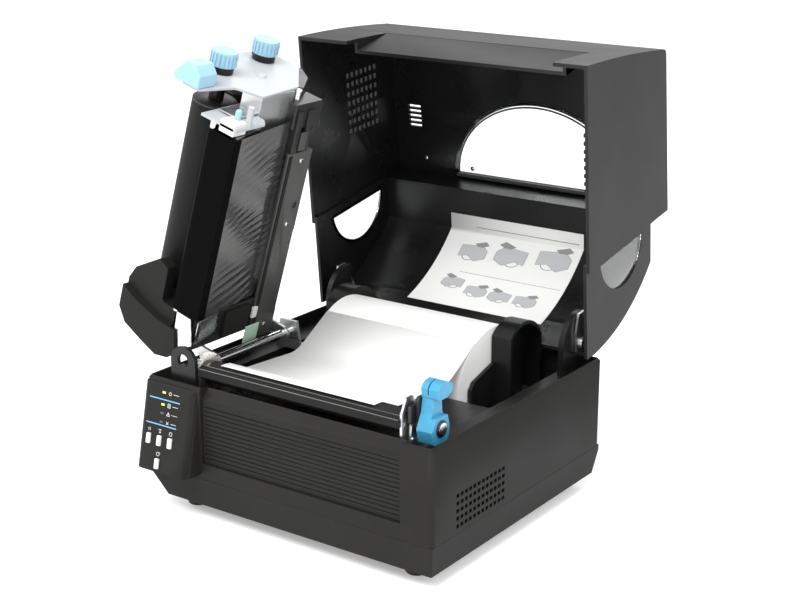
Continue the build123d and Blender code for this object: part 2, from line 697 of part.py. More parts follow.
def make_drive():
    platen = (PLATEN_Y, PLATEN_Z)
    motor = (MOTOR_Y, MOTOR_Z)
    first = MODULE * (PLATEN_TEETH + IDLER_TEETH) / 2
    second = MODULE * (IDLER_TEETH + PINION_TEETH) / 2
    idler = third_point(platen, motor, first, second)
    x0 = GEAR_X1 - GEAR_T
    to_idler = math.degrees(math.atan2(idler[1] - platen[1], idler[0] - platen[0]))
    to_motor = math.degrees(math.atan2(motor[1] - idler[1], motor[0] - idler[0]))
    idler_turn = mesh_turn(IDLER_TEETH, 0.0, PLATEN_TEETH, to_idler)
    pinion_turn = mesh_turn(PINION_TEETH, idler_turn, IDLER_TEETH, to_motor)
    keep("platen_gear", gear(PLATEN_TEETH, x0, GEAR_X1, *platen, SHAFT_R, 0.0))
    keep("idler_gear", gear(IDLER_TEETH, x0, GEAR_X1, *idler, SHAFT_R + FIT, idler_turn))
    pinion = gear(PINION_TEETH, x0, GEAR_X1, *motor, MOTOR_SHAFT_R, pinion_turn)
    keep("motor_pinion", pinion + rod_x(x0 - 1, SIDE_X0 + SIDE_T + 6, *motor, MOTOR_SHAFT_R))
    mount = loop([(SIDE_Y0, 36.0), (SIDE_Y0, DECK_Z), (SIDE_Y1 + 2, DECK_Z), (SIDE_Y1 + 2, 44.0),
                  (SIDE_Y1 - 6, 36.0)])
    bores = [(*motor, MOTOR_BOSS_R), (*idler, SHAFT_R)]
    frame_plates.append(bored_plate(mount, SIDE_X0, SIDE_X0 + SIDE_T, bores))
    fixed_pins.append(rod_x(x0 - 1.5, SIDE_X0 + SIDE_T, *idler, SHAFT_R))
    half = MOTOR_SIZE / 2
    corner = 5.0
    x_face = SIDE_X0 + SIDE_T
    section = loop([
        (MOTOR_Y - half, MOTOR_Z - half + corner), (MOTOR_Y - half, MOTOR_Z + half - corner),
        (MOTOR_Y - half + corner, MOTOR_Z + half), (MOTOR_Y + half - corner, MOTOR_Z + half),
        (MOTOR_Y + half, MOTOR_Z + half - corner), (MOTOR_Y + half, MOTOR_Z - half + corner),
        (MOTOR_Y + half - corner, MOTOR_Z - half), (MOTOR_Y - half + corner, MOTOR_Z - half),
    ])
    body = along_x(section, x_face, x_face + MOTOR_L)
    body += rod_x(x_face - SIDE_T, x_face, *motor, MOTOR_BOSS_R)
    body -= rod_x(x_face - SIDE_T - 1, x_face + 7, *motor, MOTOR_SHAFT_R + FIT)
    keep("drive_motor", body)


def make_media():
    keep("label_roll", rod_x(WEB_X0, WEB_X1, ROLL_Y, ROLL_Z, ROLL_R) - rod_x(
        WEB_X0 - 1, WEB_X1 + 1, ROLL_Y, ROLL_Z, CORE_R))
    keep("roll_core", rod_x(WEB_X0 - 0.5, WEB_X1 + 0.5, ROLL_Y, ROLL_Z, CORE_R) - rod_x(
        WEB_X0 - 2, WEB_X1 + 2, ROLL_Y, ROLL_Z, CORE_BORE))
    angle = math.radians(WEB_LEAVE)
    reach = ROLL_R + NIP_GAP
    leave = (ROLL_Y + reach * math.cos(angle), ROLL_Z + reach * math.sin(angle))
    slope = WEB_LEAVE - 90.0
    points = [leave]
    drop = WEB_BEND_R * (1 - math.cos(math.radians(slope)))
    run = (leave[1] - WEB_LOW_Z - drop) / math.tan(math.radians(slope))
    start = (leave[0] - run, leave[1] - run * math.tan(math.radians(slope)))
    steps = 6
    for step in range(steps + 1):
        turn = math.radians(slope * (1 - step / steps))
        points.append((
            start[0] - WEB_BEND_R * (math.sin(math.radians(slope)) - math.sin(turn)),
            start[1] - WEB_BEND_R * (math.cos(turn) - math.cos(math.radians(slope))),
        ))
    web_z = PLATEN_TOP + NIP_GAP
    points.append((PLATEN_Y + 24.0, WEB_LOW_Z + 3.4))
    points.append((PLATEN_Y + 4.0, web_z - 0.5))
    points.append((PLATEN_Y, web_z))
    points.append((WEB_END, web_z + 0.3))
    keep("label_web", along_x(strip(list(reversed(points)), WEB_T), WEB_X0, WEB_X1))


def rack_outline(x0, x1, centre_x, edge, side):
    """A rack's outline in X and Y. Its teeth point against side, with a gap at centre_x."""
    pitch = math.pi * MODULE
    points = [(x0, edge + side * RACK_W), (x1, edge + side * RACK_W)]
    count = 12
    half = (pitch / 2 - BACKLASH) / 2
    lean = math.tan(math.radians(20))
    tip = -side * MODULE * 0.95
    foot = side * MODULE * 1.2
    corners = []
    for number in range(-count // 2, count // 2):
        middle = centre_x + (number + 0.5) * pitch
        if x0 + pitch < middle < x1 - pitch:
            corners.append((middle - half - lean * MODULE * 1.2, edge + foot))
            corners.append((middle - half + lean * MODULE * 0.95, edge + tip))
            corners.append((middle + half - lean * MODULE * 0.95, edge + tip))
            corners.append((middle + half + lean * MODULE * 1.2, edge + foot))
    points.append((x1, edge + foot))
    points.extend(reversed(corners))
    points.append((x0, edge + foot))
    return Polyline(*points, close=True)


def make_guides():
    centre = (WEB_X0 + WEB_X1) / 2
    reach = GUIDE_PINION_TEETH * MODULE / 2
    arch = make_face(Plane.YZ * (
        Polyline((GUIDE_Y0 + 14, 44.0), (GUIDE_Y0, 62.0), (GUIDE_Y0, GUIDE_TOP - 10))
        + ThreePointArc((GUIDE_Y0, GUIDE_TOP - 10), (GUIDE_Y0 + 22, GUIDE_TOP), (GUIDE_Y1, GUIDE_TOP - 19))
        + Polyline((GUIDE_Y1, GUIDE_TOP - 19), (GUIDE_Y1, 80.0), (GUIDE_Y0 + 22, 44.0), (GUIDE_Y0 + 14, 44.0))
    ))
    sides = (("right_media_guide", WEB_X1 + GUIDE_GAP, 1), ("left_media_guide", WEB_X0 - GUIDE_GAP, -1))
    for name, face_x, out in sides:
        solid = Pos(face_x, 0, 0) * extrude(arch, amount=GUIDE_T, dir=(out, 0, 0))
        hollow = Pos(face_x + out * GUIDE_WALL, 0, 0) * extrude(
            offset(arch, amount=-GUIDE_WALL), amount=GUIDE_T, dir=(out, 0, 0))
        inner = face_x - out * HUB_L
        hub = rod_x(min(inner, face_x), max(inner, face_x), ROLL_Y, ROLL_Z, HUB_R)
        hub -= rod_x(min(inner, face_x) - 1, max(inner, face_x) + 1, ROLL_Y, ROLL_Z, HUB_R - GUIDE_WALL)
        slot = [slot for slot in leg_slots() if (slot[0] > 0) == (out > 0)][0]
        x0, x1 = sorted((face_x, face_x + out * LEG_W))
        leg = block(x0, x1, slot[2] + 1, slot[3] - 1, RACK_Z + RACK_T, LEG_TOP)
        edge = GUIDE_PINION_Y + out * reach
        x0, x1 = sorted((centre - out * RACK_PAST, face_x + out * LEG_W))
        rack = along_z(rack_outline(x0, x1, centre, edge, out), RACK_Z, RACK_Z + RACK_T)
        x0, x1 = sorted((face_x, face_x + out * GUIDE_WALL))
        wing = along_x(loop([
            (GUIDE_Y0 + 14, 44.0), (GUIDE_Y0 - 8, 46.0), (WING_Y0 + 4, 60.0), (WING_Y0, 69.0), (WING_Y0, 100.0),
            (WING_Y0 + 5, 106.0), (GUIDE_Y0, 114.5), (GUIDE_Y0 + 6, 130.0), (GUIDE_Y0 + 20, 60.0),
        ]), x0, x1)
        keep(name, solid - hollow + hub + leg + rack + wing)
    pinion = along_z(gear_outline(GUIDE_PINION_TEETH, 90.0), RACK_Z, RACK_Z + RACK_T)
    bore = rod_z(RACK_Z - 1, RACK_Z + RACK_T + 1, centre, GUIDE_PINION_Y, SHAFT_R + FIT)
    keep("guide_pinion", Pos(centre, GUIDE_PINION_Y, 0) * pinion - bore)
    rail_top = RACK_Z - 0.3
    x0 = centre - RAIL_HALF
    x1 = centre + RAIL_HALF
    half = reach + RACK_W + 4
    rail = block(x0, x1, GUIDE_PINION_Y - half, GUIDE_PINION_Y + half, FOOT_H + WALL, rail_top)
    rail += rod_z(rail_top - 1, RACK_Z + RACK_T + 1, centre, GUIDE_PINION_Y, SHAFT_R)
    for side in (-1, 1):
        y = GUIDE_PINION_Y + side * (reach + RACK_W + 2.5)
        rail += block(x0, x1, y - 1.5, y + 1.5, rail_top - 1, RACK_Z + RACK_T)
    keep("guide_rail", rail)


def make_lever():
    plate_x = LEVER_PLATE_X
    plate = loop([(LEVER_Y - 13, DECK_Z + DECK_T), (LEVER_Y - 11, 118.0), (LEVER_Y - 4, 125.0),
                  (LEVER_Y + 4, 125.0), (LEVER_Y + 11, 118.0), (LEVER_Y + 13, DECK_Z + DECK_T)])
    frame_plates.append(bored_plate(plate, plate_x, plate_x + SIDE_T, [(LEVER_Y, LEVER_Z, LEVER_PIN_R)]))
    pin = rod_x(plate_x, LEVER_X1 + 0.3, LEVER_Y, LEVER_Z, LEVER_PIN_R)
    pin += rod_x(LEVER_X1 + 0.3, LEVER_X1 + 1.8, LEVER_Y, LEVER_Z, LEVER_PIN_R + 2)
    fixed_pins.append(pin)
    bore = rod_x(plate_x, LEVER_X1 + 1, LEVER_Y, LEVER_Z, LEVER_PIN_R + FIT)
    latch_w = LATCH_Z - LEVER_Z
    hook = rod_x(HOOK_X0, HOOK_X1, LEVER_Y, LEVER_Z, 8.0)
    arm = loop([
        (LEVER_Y - 6, LEVER_Z), (LEVER_Y - 3, LEVER_Z + latch_w + 9), (LEVER_Y, LEVER_Z + latch_w + 11),
        (LATCH_PIN_Y - 1, LEVER_Z + latch_w + 8.5), (LATCH_PIN_Y, LEVER_Z + latch_w + 5.5),
        (LATCH_PIN_Y, LEVER_Z + latch_w + 3.4), (LATCH_PIN_Y - 4, LEVER_Z + latch_w + 3.4),
        (LATCH_PIN_Y - 4, LEVER_Z + latch_w - 3), (LEVER_Y + 6, LEVER_Z),
    ])
    hook += along_x(arm, HOOK_X0, HOOK_X1)
    turned = hook.rotate(Axis((0, LEVER_Y, LEVER_Z), (1, 0, 0)), LOCK_SWING)
    keep("lock_hook", turned - bore)
    stem = loop([
        (LEVER_Y - 9, LEVER_Z - 11), (LEVER_Y + 9, LEVER_Z - 11), (LEVER_Y + 11, LEVER_Z),
        (LEVER_Y + 7, LEVER_Z + 12), (LEVER_Y + 6, PADDLE_Z0 + 1), (LEVER_Y - 4, PADDLE_Z0 + 1),
        (LEVER_Y - 6, LEVER_Z + 12), (LEVER_Y - 12, LEVER_Z),
    ], 2.0)
    lever = along_x(stem, LEVER_X0, LEVER_X1)
    waist = block(LEVER_X1 - 4, LEVER_X1 + 1, LEVER_Y - 20, LEVER_Y + 20, LEVER_Z + 9, PADDLE_Z0)
    lever -= waist
    head = loop([
        (LEVER_Y - 5, PADDLE_Z0), (LEVER_Y - 6, PADDLE_Z0 + 8), (LEVER_Y - 2, PADDLE_Z1 - 1),
        (LEVER_Y + 5, PADDLE_Z1), (LEVER_Y + 13, PADDLE_Z1 - 4), (LEVER_Y + 13, PADDLE_Z0 + 3),
        (LEVER_Y + 6, PADDLE_Z0),
    ], 1.5)
    paddle = along_x(head, LEVER_X0, LEVER_X1 + 1)
    groove_x = LEVER_X0 + 5.5
    paddle -= block(groove_x, groove_x + 1.2, LEVER_Y - 20, LEVER_Y + 20, PADDLE_Z0 + 3, PADDLE_Z1 + 1)
    lever = lever + paddle - bore
    lever += rod_x(HOOK_X1, LEVER_X0, LEVER_Y, LEVER_Z, 6.0) - bore
    keep("head_lock_lever", lever)


def make_rear():
    ports = port_openings()
    x0, x1, z0, z1 = ports["power_inlet"]
    back = BACK + 1.5
    middle_x = (x0 + x1) / 2
    middle_z = (z0 + z1) / 2
    inlet = block(x0, x1, INLET_FRONT, back, z0, z1)
    cut = 4.0
    half_x = 11.5
    half_z = 7.5
    socket = loop([
        (middle_x - half_x, middle_z - half_z), (middle_x + half_x, middle_z - half_z),
        (middle_x + half_x, middle_z + half_z - cut), (middle_x + half_x - cut, middle_z + half_z),
        (middle_x - half_x + cut, middle_z + half_z), (middle_x - half_x, middle_z + half_z - cut),
    ])
    inlet -= along_y(socket, INLET_FRONT + WALL, back + 1)
    x0, x1, z0, z1 = ports["power_switch"]
    middle_z = (z0 + z1) / 2
    pivot = BACK - 4.0
    wall = 1.3
    frame = block(x0, x1, pivot - 7, back, z0, z1)
    frame -= block(x0 + wall, x1 - wall, pivot - 5.5, back + 1, z0 + wall, z1 - wall)
    frame -= rod_x(x0 + 0.5, x1 - 0.5, pivot, middle_z, 1.5 + FIT)
    keep("power_entry", group([inlet, frame]))
    tip = (z1 - z0) / 2 - wall - 0.9
    face = loop([
        (pivot - 3.5, middle_z - 3), (pivot - 3.5, middle_z + 3), (pivot + 2, middle_z + tip),
        (pivot + 4.6, middle_z + tip), (pivot + 3.6, middle_z), (pivot + 4.6, middle_z - tip),
        (pivot + 2, middle_z - tip),
    ])
    rocker = along_x(face, x0 + wall + 0.3, x1 - wall - 0.3)
    rocker += rod_x(x0 + 0.6, x1 - 0.6, pivot, middle_z, 1.5)
    keep("power_switch", rocker.rotate(Axis((0, pivot, middle_z), (1, 0, 0)), SWITCH_SWING / 2))

    x0, x1, z0, z1 = ports["interface_ports"]
    panel = block(x0, x1, BACK - 13, BACK + 0.8, z0, z1)
    middle_z = (z0 + z1) / 2
    panel -= block(x0 + 5, x0 + 17, BACK - 9, BACK + 1, middle_z - 5.5, middle_z + 5.5)
    panel -= block(x0 + 24, x0 + 40, BACK - 9, BACK + 1, middle_z - 6.5, middle_z + 6.5)
    plug = loop([(x0 + 47, middle_z + 5.5), (x0 + 70, middle_z + 5.5), (x0 + 68, middle_z - 5.5),
                 (x0 + 49, middle_z - 5.5)])
    panel += along_y(plug, BACK + 0.8, BACK + 5.5)
    keep("interface_ports", panel)

    board = block(BOARD_X0, BOARD_X1, BOARD_Y0, BOARD_Y1, BOARD_Z, BOARD_Z + 1.6)
    parts = []
    for x in (BOARD_X0 + 6, BOARD_X1 - 6):
        for y in (BOARD_Y0 + 6, BOARD_Y1 - 6):
            parts.append(rod_z(FOOT_H + WALL, BOARD_Z, x, y, 3.0))
    top = BOARD_Z + 1.6
    for x, y, size, height in ((30, 24, 24, 2.4), (64, 22, 16, 2.0), (94, 28, 12, 14.0), (126, 26, 20, 10.0)):
        corner_x = BOARD_X0 + x - size / 2
        corner_y = BOARD_Y0 + y - size / 2
        parts.append(block(corner_x, corner_x + size, corner_y, corner_y + size, top, top + height))
    keep("circuit_boards", group([board + parts, bodies.pop("panel_board")]))
    supply = block(BOARD_X0, BOARD_X0 + 110.0, BOARD_Y1 + 6, ROLL_Y - 65, FOOT_H + WALL, 62.0)
    keep("power_supply", chamfer(supply.edges().filter_by(Axis.Z), 3.0))


def cover_point(f, h):
    """A cover point from its distance before the closed cover's back and its height over the rim."""
    return (COVER_BACK - f, COVER_Z + h)


def cover_top(f):
    """The height of the cover's top at a distance before its back."""
    return COVER_TOP_H - TOP_FALL * (f - HOOD_BACK_HIGH - 1.9)


def hood_wire():
    top_front = cover_top(COVER_FRONT_TOP - TOP_CORNER_R)
    foot = cover_point(COVER_LEN, 0)
    shoulder = cover_point(COVER_FRONT_TOP, top_front - TOP_CORNER_R)
    crown = cover_point(COVER_FRONT_TOP - TOP_CORNER_R, top_front)
    bend = cover_point(COVER_FRONT_TOP - TOP_CORNER_R * 0.25, top_front - TOP_CORNER_R * 0.3)
    back = [crown]
    back += [cover_point(*p) for p in (
        (HOOD_BACK_HIGH + 1.9, COVER_TOP_H), (HOOD_BACK_HIGH, 116.0), (HOOD_BACK_LOW + 0.7, 24.0),
        (HOOD_BACK_LOW, 0.0))]
    back.append(foot)
    return (ThreePointArc(foot, cover_point(*COVER_FRONT_BULGE), shoulder)
            + ThreePointArc(shoulder, bend, crown) + Polyline(*back))


def hood_back(h):
    """How far before the cover's back the hood's rear edge lies at a height."""
    return HOOD_BACK_LOW + 0.7 + (HOOD_BACK_HIGH - HOOD_BACK_LOW - 0.7) * (h - 24.0) / 92.0


def rear_face(extra):
    """The rear shell's side view as a face, lengthened under the hood by extra."""
    front = [(REAR_LOW[0], 0.0), (HOOD_BACK_LOW + extra, 0.0), (HOOD_BACK_LOW + extra + 0.7, 24.0),
             (hood_back(REAR_TOP_H - COVER_T) + extra, REAR_TOP_H - COVER_T),
             (hood_back(REAR_TOP_H - COVER_T), REAR_TOP_H - COVER_T),
             (hood_back(REAR_TOP_H), REAR_TOP_H), (REAR_FLAT, REAR_TOP_H)]
    line = Polyline(*[cover_point(*p) for p in front])
    arc = ThreePointArc(cover_point(REAR_FLAT, REAR_TOP_H), cover_point(*REAR_BULGE), cover_point(*REAR_LOW))
    foot = Line(cover_point(*REAR_LOW), cover_point(REAR_LOW[0], 0.0))
    return make_face(Plane.YZ * (line + arc + foot))


def sweep_x(face, x0, x1):
    """The solid that a face in Y and Z sweeps from x0 to x1."""
    return Pos(x0, 0, 0) * extrude(face, amount=x1 - x0, dir=(1, 0, 0))


def make_hood():
    outer = make_face(Plane.YZ * hood_wire())
    inside = sweep_x(offset(outer, amount=-COVER_T), COVER_X0 + COVER_T, COVER_X1 - COVER_T)
    bottom = along_x(loop([cover_point(*p) for p in (
        (HOOD_BACK_LOW - 9, -1.0), (COVER_LEN - COVER_T, -1.0), (COVER_LEN - COVER_T - 0.3, 6.0),
        (HOOD_BACK_HIGH + 8, 6.0), (HOOD_BACK_HIGH + 8, REAR_TOP_H - COVER_T),
        (HOOD_BACK_LOW - 9, REAR_TOP_H - COVER_T))]),
        COVER_X0 + COVER_T, COVER_X1 - COVER_T)
    hood = sweep_x(outer, COVER_X0, COVER_X1) - inside - bottom
    low = COVER_LEN - SCOOP_IN - 1.2
    high = COVER_FRONT_BULGE[0]
    scoop = loop([cover_point(*p) for p in (
        (low, EXIT_H), (high, SCOOP_H), (COVER_LEN + 5, SCOOP_H), (COVER_LEN + 5, EXIT_H))])
    cheek = loop([cover_point(*p) for p in (
        (low - COVER_T, EXIT_H), (high - COVER_T, SCOOP_H), (high - 0.5, SCOOP_H), (COVER_LEN - 2.5, EXIT_H))])
    back = loop([cover_point(*p) for p in (
        (low - COVER_T, EXIT_H), (high - COVER_T, SCOOP_H), (high, SCOOP_H), (low, EXIT_H))])
    hood -= along_x(scoop, EXIT_X0, EXIT_X1)
    hood += along_x(back, EXIT_X0, EXIT_X1)
    hood += along_x(cheek, EXIT_X0 - COVER_T, EXIT_X0) + along_x(cheek, EXIT_X1, EXIT_X1 + COVER_T)
    exit_cut = loop([cover_point(*p) for p in (
        (COVER_LEN - 16, -1.0), (COVER_LEN + 5, -1.0), (COVER_LEN + 5, EXIT_H), (COVER_LEN - 16, EXIT_H))])
    hood -= along_x(exit_cut, EXIT_X0, EXIT_X1)
    hood -= window_prism(0.0)
    holes = []
    for column in range(COVER_VENTS):
        for row in range(COVER_VENTS):
            y, z = cover_point(COVER_VENT_F + column * COVER_VENT_PITCH, COVER_VENT_H + row * COVER_VENT_RISE)
            holes.append(block(COVER_X0 - 1, COVER_X0 + COVER_T + 1, y - 2.6, y + 2.6, z - 1.8, z + 1.8))
    for row in range(LOUVRES):
        y, z = cover_point(LOUVRE_F + row * LOUVRE_PITCH, COVER_TOP_H)
        holes.append(block(LOUVRE_X - LOUVRE_W / 2, LOUVRE_X + LOUVRE_W / 2, y - 1.2, y + 1.2, z - 12, z + 1))
    hood -= holes
    keep("cover_hood", opened(hood))


def window_prism(grow):
    """The half-oval column that the top window stands in, larger all round by grow."""
    y = COVER_BACK - TOP_WINDOW_F
    oval = extrude(Ellipse(TOP_WINDOW_W / 2 + grow, TOP_WINDOW_L + grow), 25.0)
    oval = Pos(TOP_WINDOW_X, y, COVER_Z + COVER_TOP_H - 20) * oval
    return oval & block(COVER_X0, COVER_X1, y - TOP_WINDOW_L - grow - 1, y + grow, 0, 400)


def under_top(depth, thickness):
    """A slab that lies under the cover's top face at a depth."""
    f0 = HOOD_BACK_HIGH
    f1 = COVER_FRONT_TOP
    return along_x(loop([cover_point(*p) for p in (
        (f0, cover_top(f0) - depth), (f1, cover_top(f1) - depth),
        (f1, cover_top(f1) - depth - thickness), (f0, cover_top(f0) - depth - thickness))]), COVER_X0, COVER_X1)


def side_window_face(grow):
    """The side window's outline as a face, larger all round by grow."""
    low = (SIDE_WINDOW_LOW[0] - 2.5, SIDE_WINDOW_LOW[1])
    high = (SIDE_WINDOW_HIGH[0] - 2.5, SIDE_WINDOW_HIGH[1])
    arc = ThreePointArc(cover_point(*low), cover_point(*SIDE_WINDOW_BULGE), cover_point(*high))
    face = make_face(Plane.YZ * (arc + Line(cover_point(*high), cover_point(*low))))
    return offset(face, amount=grow) if grow else face


def make_rear_shell():
    x0 = COVER_X0 + COVER_T
    x1 = COVER_X1 - COVER_T
    outer = rear_face(LAP)
    inner = offset(outer, amount=-COVER_T)
    shell = sweep_x(outer, x0, x1) - sweep_x(inner, x0 + COVER_T, x1 - COVER_T)
    opening = loop([cover_point(*p) for p in (
        (REAR_LOW[0] + COVER_T, -1.0), (HOOD_BACK_HIGH + LAP + 5, -1.0),
        (HOOD_BACK_HIGH + LAP + 5, REAR_TOP_H - COVER_T), (HOOD_BACK_HIGH - 6, REAR_TOP_H - COVER_T),
        (HOOD_BACK_LOW - 8, 8.0), (REAR_LOW[0] + COVER_T, 8.0))])
    shell -= along_x(opening, x0 + COVER_T, x1 - COVER_T)
    slot_top = cover_point(0, REAR_SLOT_H)[1]
    shell -= block(x0 + COVER_T, x1 - COVER_T, COVER_BACK - 4, BACK + 5, COVER_Z - 1, slot_top)
    hole = side_window_face(0)
    shell -= sweep_x(hole, x0 - 1, x1 + 1)
    for side in (-1, 1):
        near, far = sorted((side * (CHEEK_X - 0.8), side * (CHEEK_X + CHEEK_T + 0.8)))
        shell -= rod_x(near, far, HINGE_Y, HINGE_Z, CHEEK_R + 1)
    keep("cover_rear_shell", opened(shell))

    ring = sweep_x(side_window_face(WINDOW_LIP), x0, x1)
    panes = []
    for wall, inward in ((x0, 1), (x1, -1)):
        a, b = sorted((wall + inward * 0.5, wall + inward * COVER_T))
        c, d = sorted((wall + inward * COVER_T, wall + inward * (COVER_T + 1.2)))
        pane = sweep_x(hole, a, b) + (ring & block(c, d, -500, 500, 0, 500))
        panes.append(opened(pane))
    top = window_prism(0.0) & under_top(0.5, COVER_T - 0.4)
    top += window_prism(WINDOW_LIP) & under_top(COVER_T + 0.05, 1.2)
    panes.append(opened(top))
    keep("cover_windows", group(panes))

    arm = loop([(HINGE_Y + x, HINGE_Z + z) for x, z in (
        (10.0, -10.5), (10.0, 16.5), (-4.0, 16.5), (-27.0, 5.5), (-27.0, -4.5), (-8.0, -10.5))])
    arms = []
    room = sweep_x(inner, x0 + COVER_T, x1 - COVER_T)
    for side in (-1, 1):
        near = CHEEK_X + CHEEK_T + 0.5
        a, b = sorted((side * near, side * (near + ARM_T)))
        plate = along_x(arm, a, b) & room
        a, b = sorted((side * (CHEEK_X - 1), side * (near + ARM_T + 1)))
        head_a, head_b = sorted((side * (near + ARM_T), side * (near + ARM_T + 2)))
        plate += rod_x(a, b, HINGE_Y, HINGE_Z, HINGE_PIN_R) + rod_x(head_a, head_b, HINGE_Y, HINGE_Z, 5.0)
        arms.append(opened(plate))
    keep("cover_hinges", group(arms))

    cheeks = []
    for side in (-1, 1):
        a, b = sorted((side * CHEEK_X, side * (CHEEK_X + CHEEK_T)))
        disc = rod_x(a, b, HINGE_Y, HINGE_Z, CHEEK_R)
        disc += block(a, b, HINGE_Y - CHEEK_R, HINGE_Y + 5, DECK_Z + DECK_T, HINGE_Z)
        disc &= block(a, b, 0, HINGE_Y + 5, DECK_Z + DECK_T, HINGE_Z + CHEEK_R)
        cheeks.append(disc - rod_x(a - 1, b + 1, HINGE_Y, HINGE_Z, HINGE_PIN_R + FIT))
    keep("hinge_cheeks", group(cheeks))


def unit_x(shape):
    """Moves a piece drawn from the print unit's pivot to its closed place."""
    return Pos(UNIT_X, 0, UNIT_Z) * shape


def make_unit_mounts():
    """The two stands that carry the print unit's shaft."""
    low = DECK_Z + DECK_T - UNIT_Z
    face = Circle(BRACKET_R)
    face += Pos(0, (low - BRACKET_LIFT) / 2) * Rectangle(2 * BRACKET_R, BRACKET_LIFT - low)
    front = unit_plate(Pos(0, BRACKET_LIFT) * face, BRACKET_Y0, BRACKET_T)
    front -= unit_x(rod_y(BRACKET_Y0 - 1, BRACKET_Y0 + BRACKET_T + 1, 0, BRACKET_LIFT + 1, BRACKET_R * 0.42))
    front += unit_x(rod_y(BRACKET_Y0, BRACKET_Y0 + BRACKET_T, 0, 0, UNIT_SHAFT_R + 3))
    front -= unit_x(rod_y(UNIT_SHAFT_Y0, BRACKET_Y0 + BRACKET_T + 1, 0, 0, UNIT_SHAFT_R))
    keep("front_bracket", front)
    rear_y = UNIT_SHAFT_Y1 - 5.5
    rear = along_y(loop([(UNIT_X - 13, DECK_Z + DECK_T), (UNIT_X - 9, UNIT_Z + 10), (UNIT_X + 9, UNIT_Z + 10),
                         (UNIT_X + 13, DECK_Z + DECK_T)]), rear_y, rear_y + 3)
    rear += block(UNIT_X - 13, UNIT_X + 12, rear_y, rear_y + 14, DECK_Z + DECK_T, DECK_Z + DECK_T + 2)
    rear -= rod_y(rear_y - 1, rear_y + 4, UNIT_X, UNIT_Z, UNIT_SHAFT_R)
    frame_plates.append(rear)
    keep("unit_shaft", rod_y(UNIT_SHAFT_Y0, UNIT_SHAFT_Y1, UNIT_X, UNIT_Z, UNIT_SHAFT_R))
    keep("frame_plates", group(frame_plates))
    keep("fixed_pins", group(fixed_pins))


def unit_plate(face, y0, thickness):
    """A plate across the unit's shaft from a face in u and w."""
    plate = Plane.XZ * face
    return unit_x(Pos(0, y0, 0) * extrude(plate, amount=thickness, dir=(0, 1, 0)))


def make_unit_frame():
    y0 = HOUSING_Y0 + HOUSING_STEP + HOUSING_T + 0.5
    y1 = HOUSING_Y1 - HOUSING_T - 0.5
    end = along_x(loop([(y0, END_LOW_W), (BEAM_Y0, END_LOW_W), (BEAM_Y0, EAR_W), (y1, EAR_W), (y1, 80.0),
                        (y1 - 4, SUPPLY_W + 9), (SUPPLY_Y - 14, SUPPLY_W + 9), (TAKEUP_Y + 12, TAKEUP_W + 9),
                        (TAKEUP_Y - 12, TAKEUP_W + 9), (y0, 56.0)]), END_LEFT, END_LEFT + END_T)
    for y, w in ((TAKEUP_Y, TAKEUP_W), (SUPPLY_Y, SUPPLY_W)):
        end -= rod_x(END_LEFT - 1, END_LEFT + END_T + 1, y, w, SPINDLE_R + FIT)
    ears = []
    for y in (EAR_FRONT_Y, EAR_BACK_Y):
        ear = rod_y(y, y + EAR_T, 0, 0, EAR_R)
        ear += along_y(loop([(-EAR_R, 0), (-EAR_R, 8.0), (3.0, END_LOW_W), (6.0, END_LOW_W + 8),
                             (END_LEFT, END_LOW_W + 8), (END_LEFT, END_LOW_W), (12.0, END_LOW_W), (EAR_R, 14.0),
                             (EAR_R, 0)]), y, y + EAR_T)
        ears.append(ear - rod_y(y - 1, y + EAR_T + 1, 0, 0, UNIT_SHAFT_R + FIT))
    frame = end + ears
    foot = block(END_LEFT + END_T, FILM_U0 - 2, BAR_Y0, BAR_Y1 - 2, BAR_W + BAR_T, EAR_W + 2)
    beam = block(END_LEFT + END_T, END_U, BEAM_Y0, BEAM_Y1, BEAM_W0, BEAM_W1)
    beam -= block(END_LEFT, END_U + 1, BEAM_Y0 + END_T, BEAM_Y1 - END_T, BEAM_W0 + END_T, BEAM_W1 + 1)
    low = BEAM_W0 + END_T
    carrier = loop([(BEAM_Y0 - 20, low), (BEAM_Y0, low), (BEAM_Y0, low + 12), (BEAM_Y0 - 2, low + 12),
                    (BEAM_Y0 - 2, low + END_T), (BEAM_Y0 - 20, low + END_T)])
    beam += along_x(carrier, HEAD_U0 + 24, HEAD_U1 - 14)
    keep("unit_frame", raised(unit_x(frame + foot + beam)))

    outline = loop([(PLATEN_Y + y, w) for y, w in (
        (-7.0, 50.0), (27.0, 42.0), (35.0, 20.0), (83.0, 24.0), (117.0, 52.0), (121.0, 92.0), (77.0, 96.0),
        (17.0, 92.0), (-7.0, 66.0))], 3.0)
    plate = along_x(outline, END_U, END_U + END_T)
    for y, w in ((TAKEUP_Y, TAKEUP_W), (SUPPLY_Y, SUPPLY_W)):
        plate -= rod_x(END_U - 1, END_U + END_T + 1, y, w, SPINDLE_R + FIT)
    lugs = []
    for y, w in LUGS:
        cone = Cone(4.5, 3.0, 2.0, align=(Align.CENTER, Align.CENTER, Align.MIN))
        lug = Pos(END_U + END_T, y, w) * Rot(0, 90, 0) * cone
        lugs.append(lug)
    keep("unit_end_plate", raised(unit_x(plate + lugs)))

    arm = along_x(loop([
        (PLATEN_Y - 3, 10.0), (PLATEN_Y + 31, 10.0), (BEAM_Y0, 16.0), (BEAM_Y0, BEAM_W1), (BEAM_Y1, BEAM_W1),
        (BEAM_Y1, 34.0), (SUPPLY_Y + 22, 38.0), (SUPPLY_Y + 22, BEAM_W1 + 8), (PLATEN_Y - 3, BEAM_W1 + 4),
    ]), HEAD_ARM_U, HEAD_ARM_U + END_T)
    arm += rod_x(HEAD_ARM_U + END_T, HOOK_X1 + 0.5 - UNIT_X, LATCH_PIN_Y, LATCH_Z - UNIT_Z, LATCH_PIN_R)
    keep("head_arm", raised(unit_x(arm)))


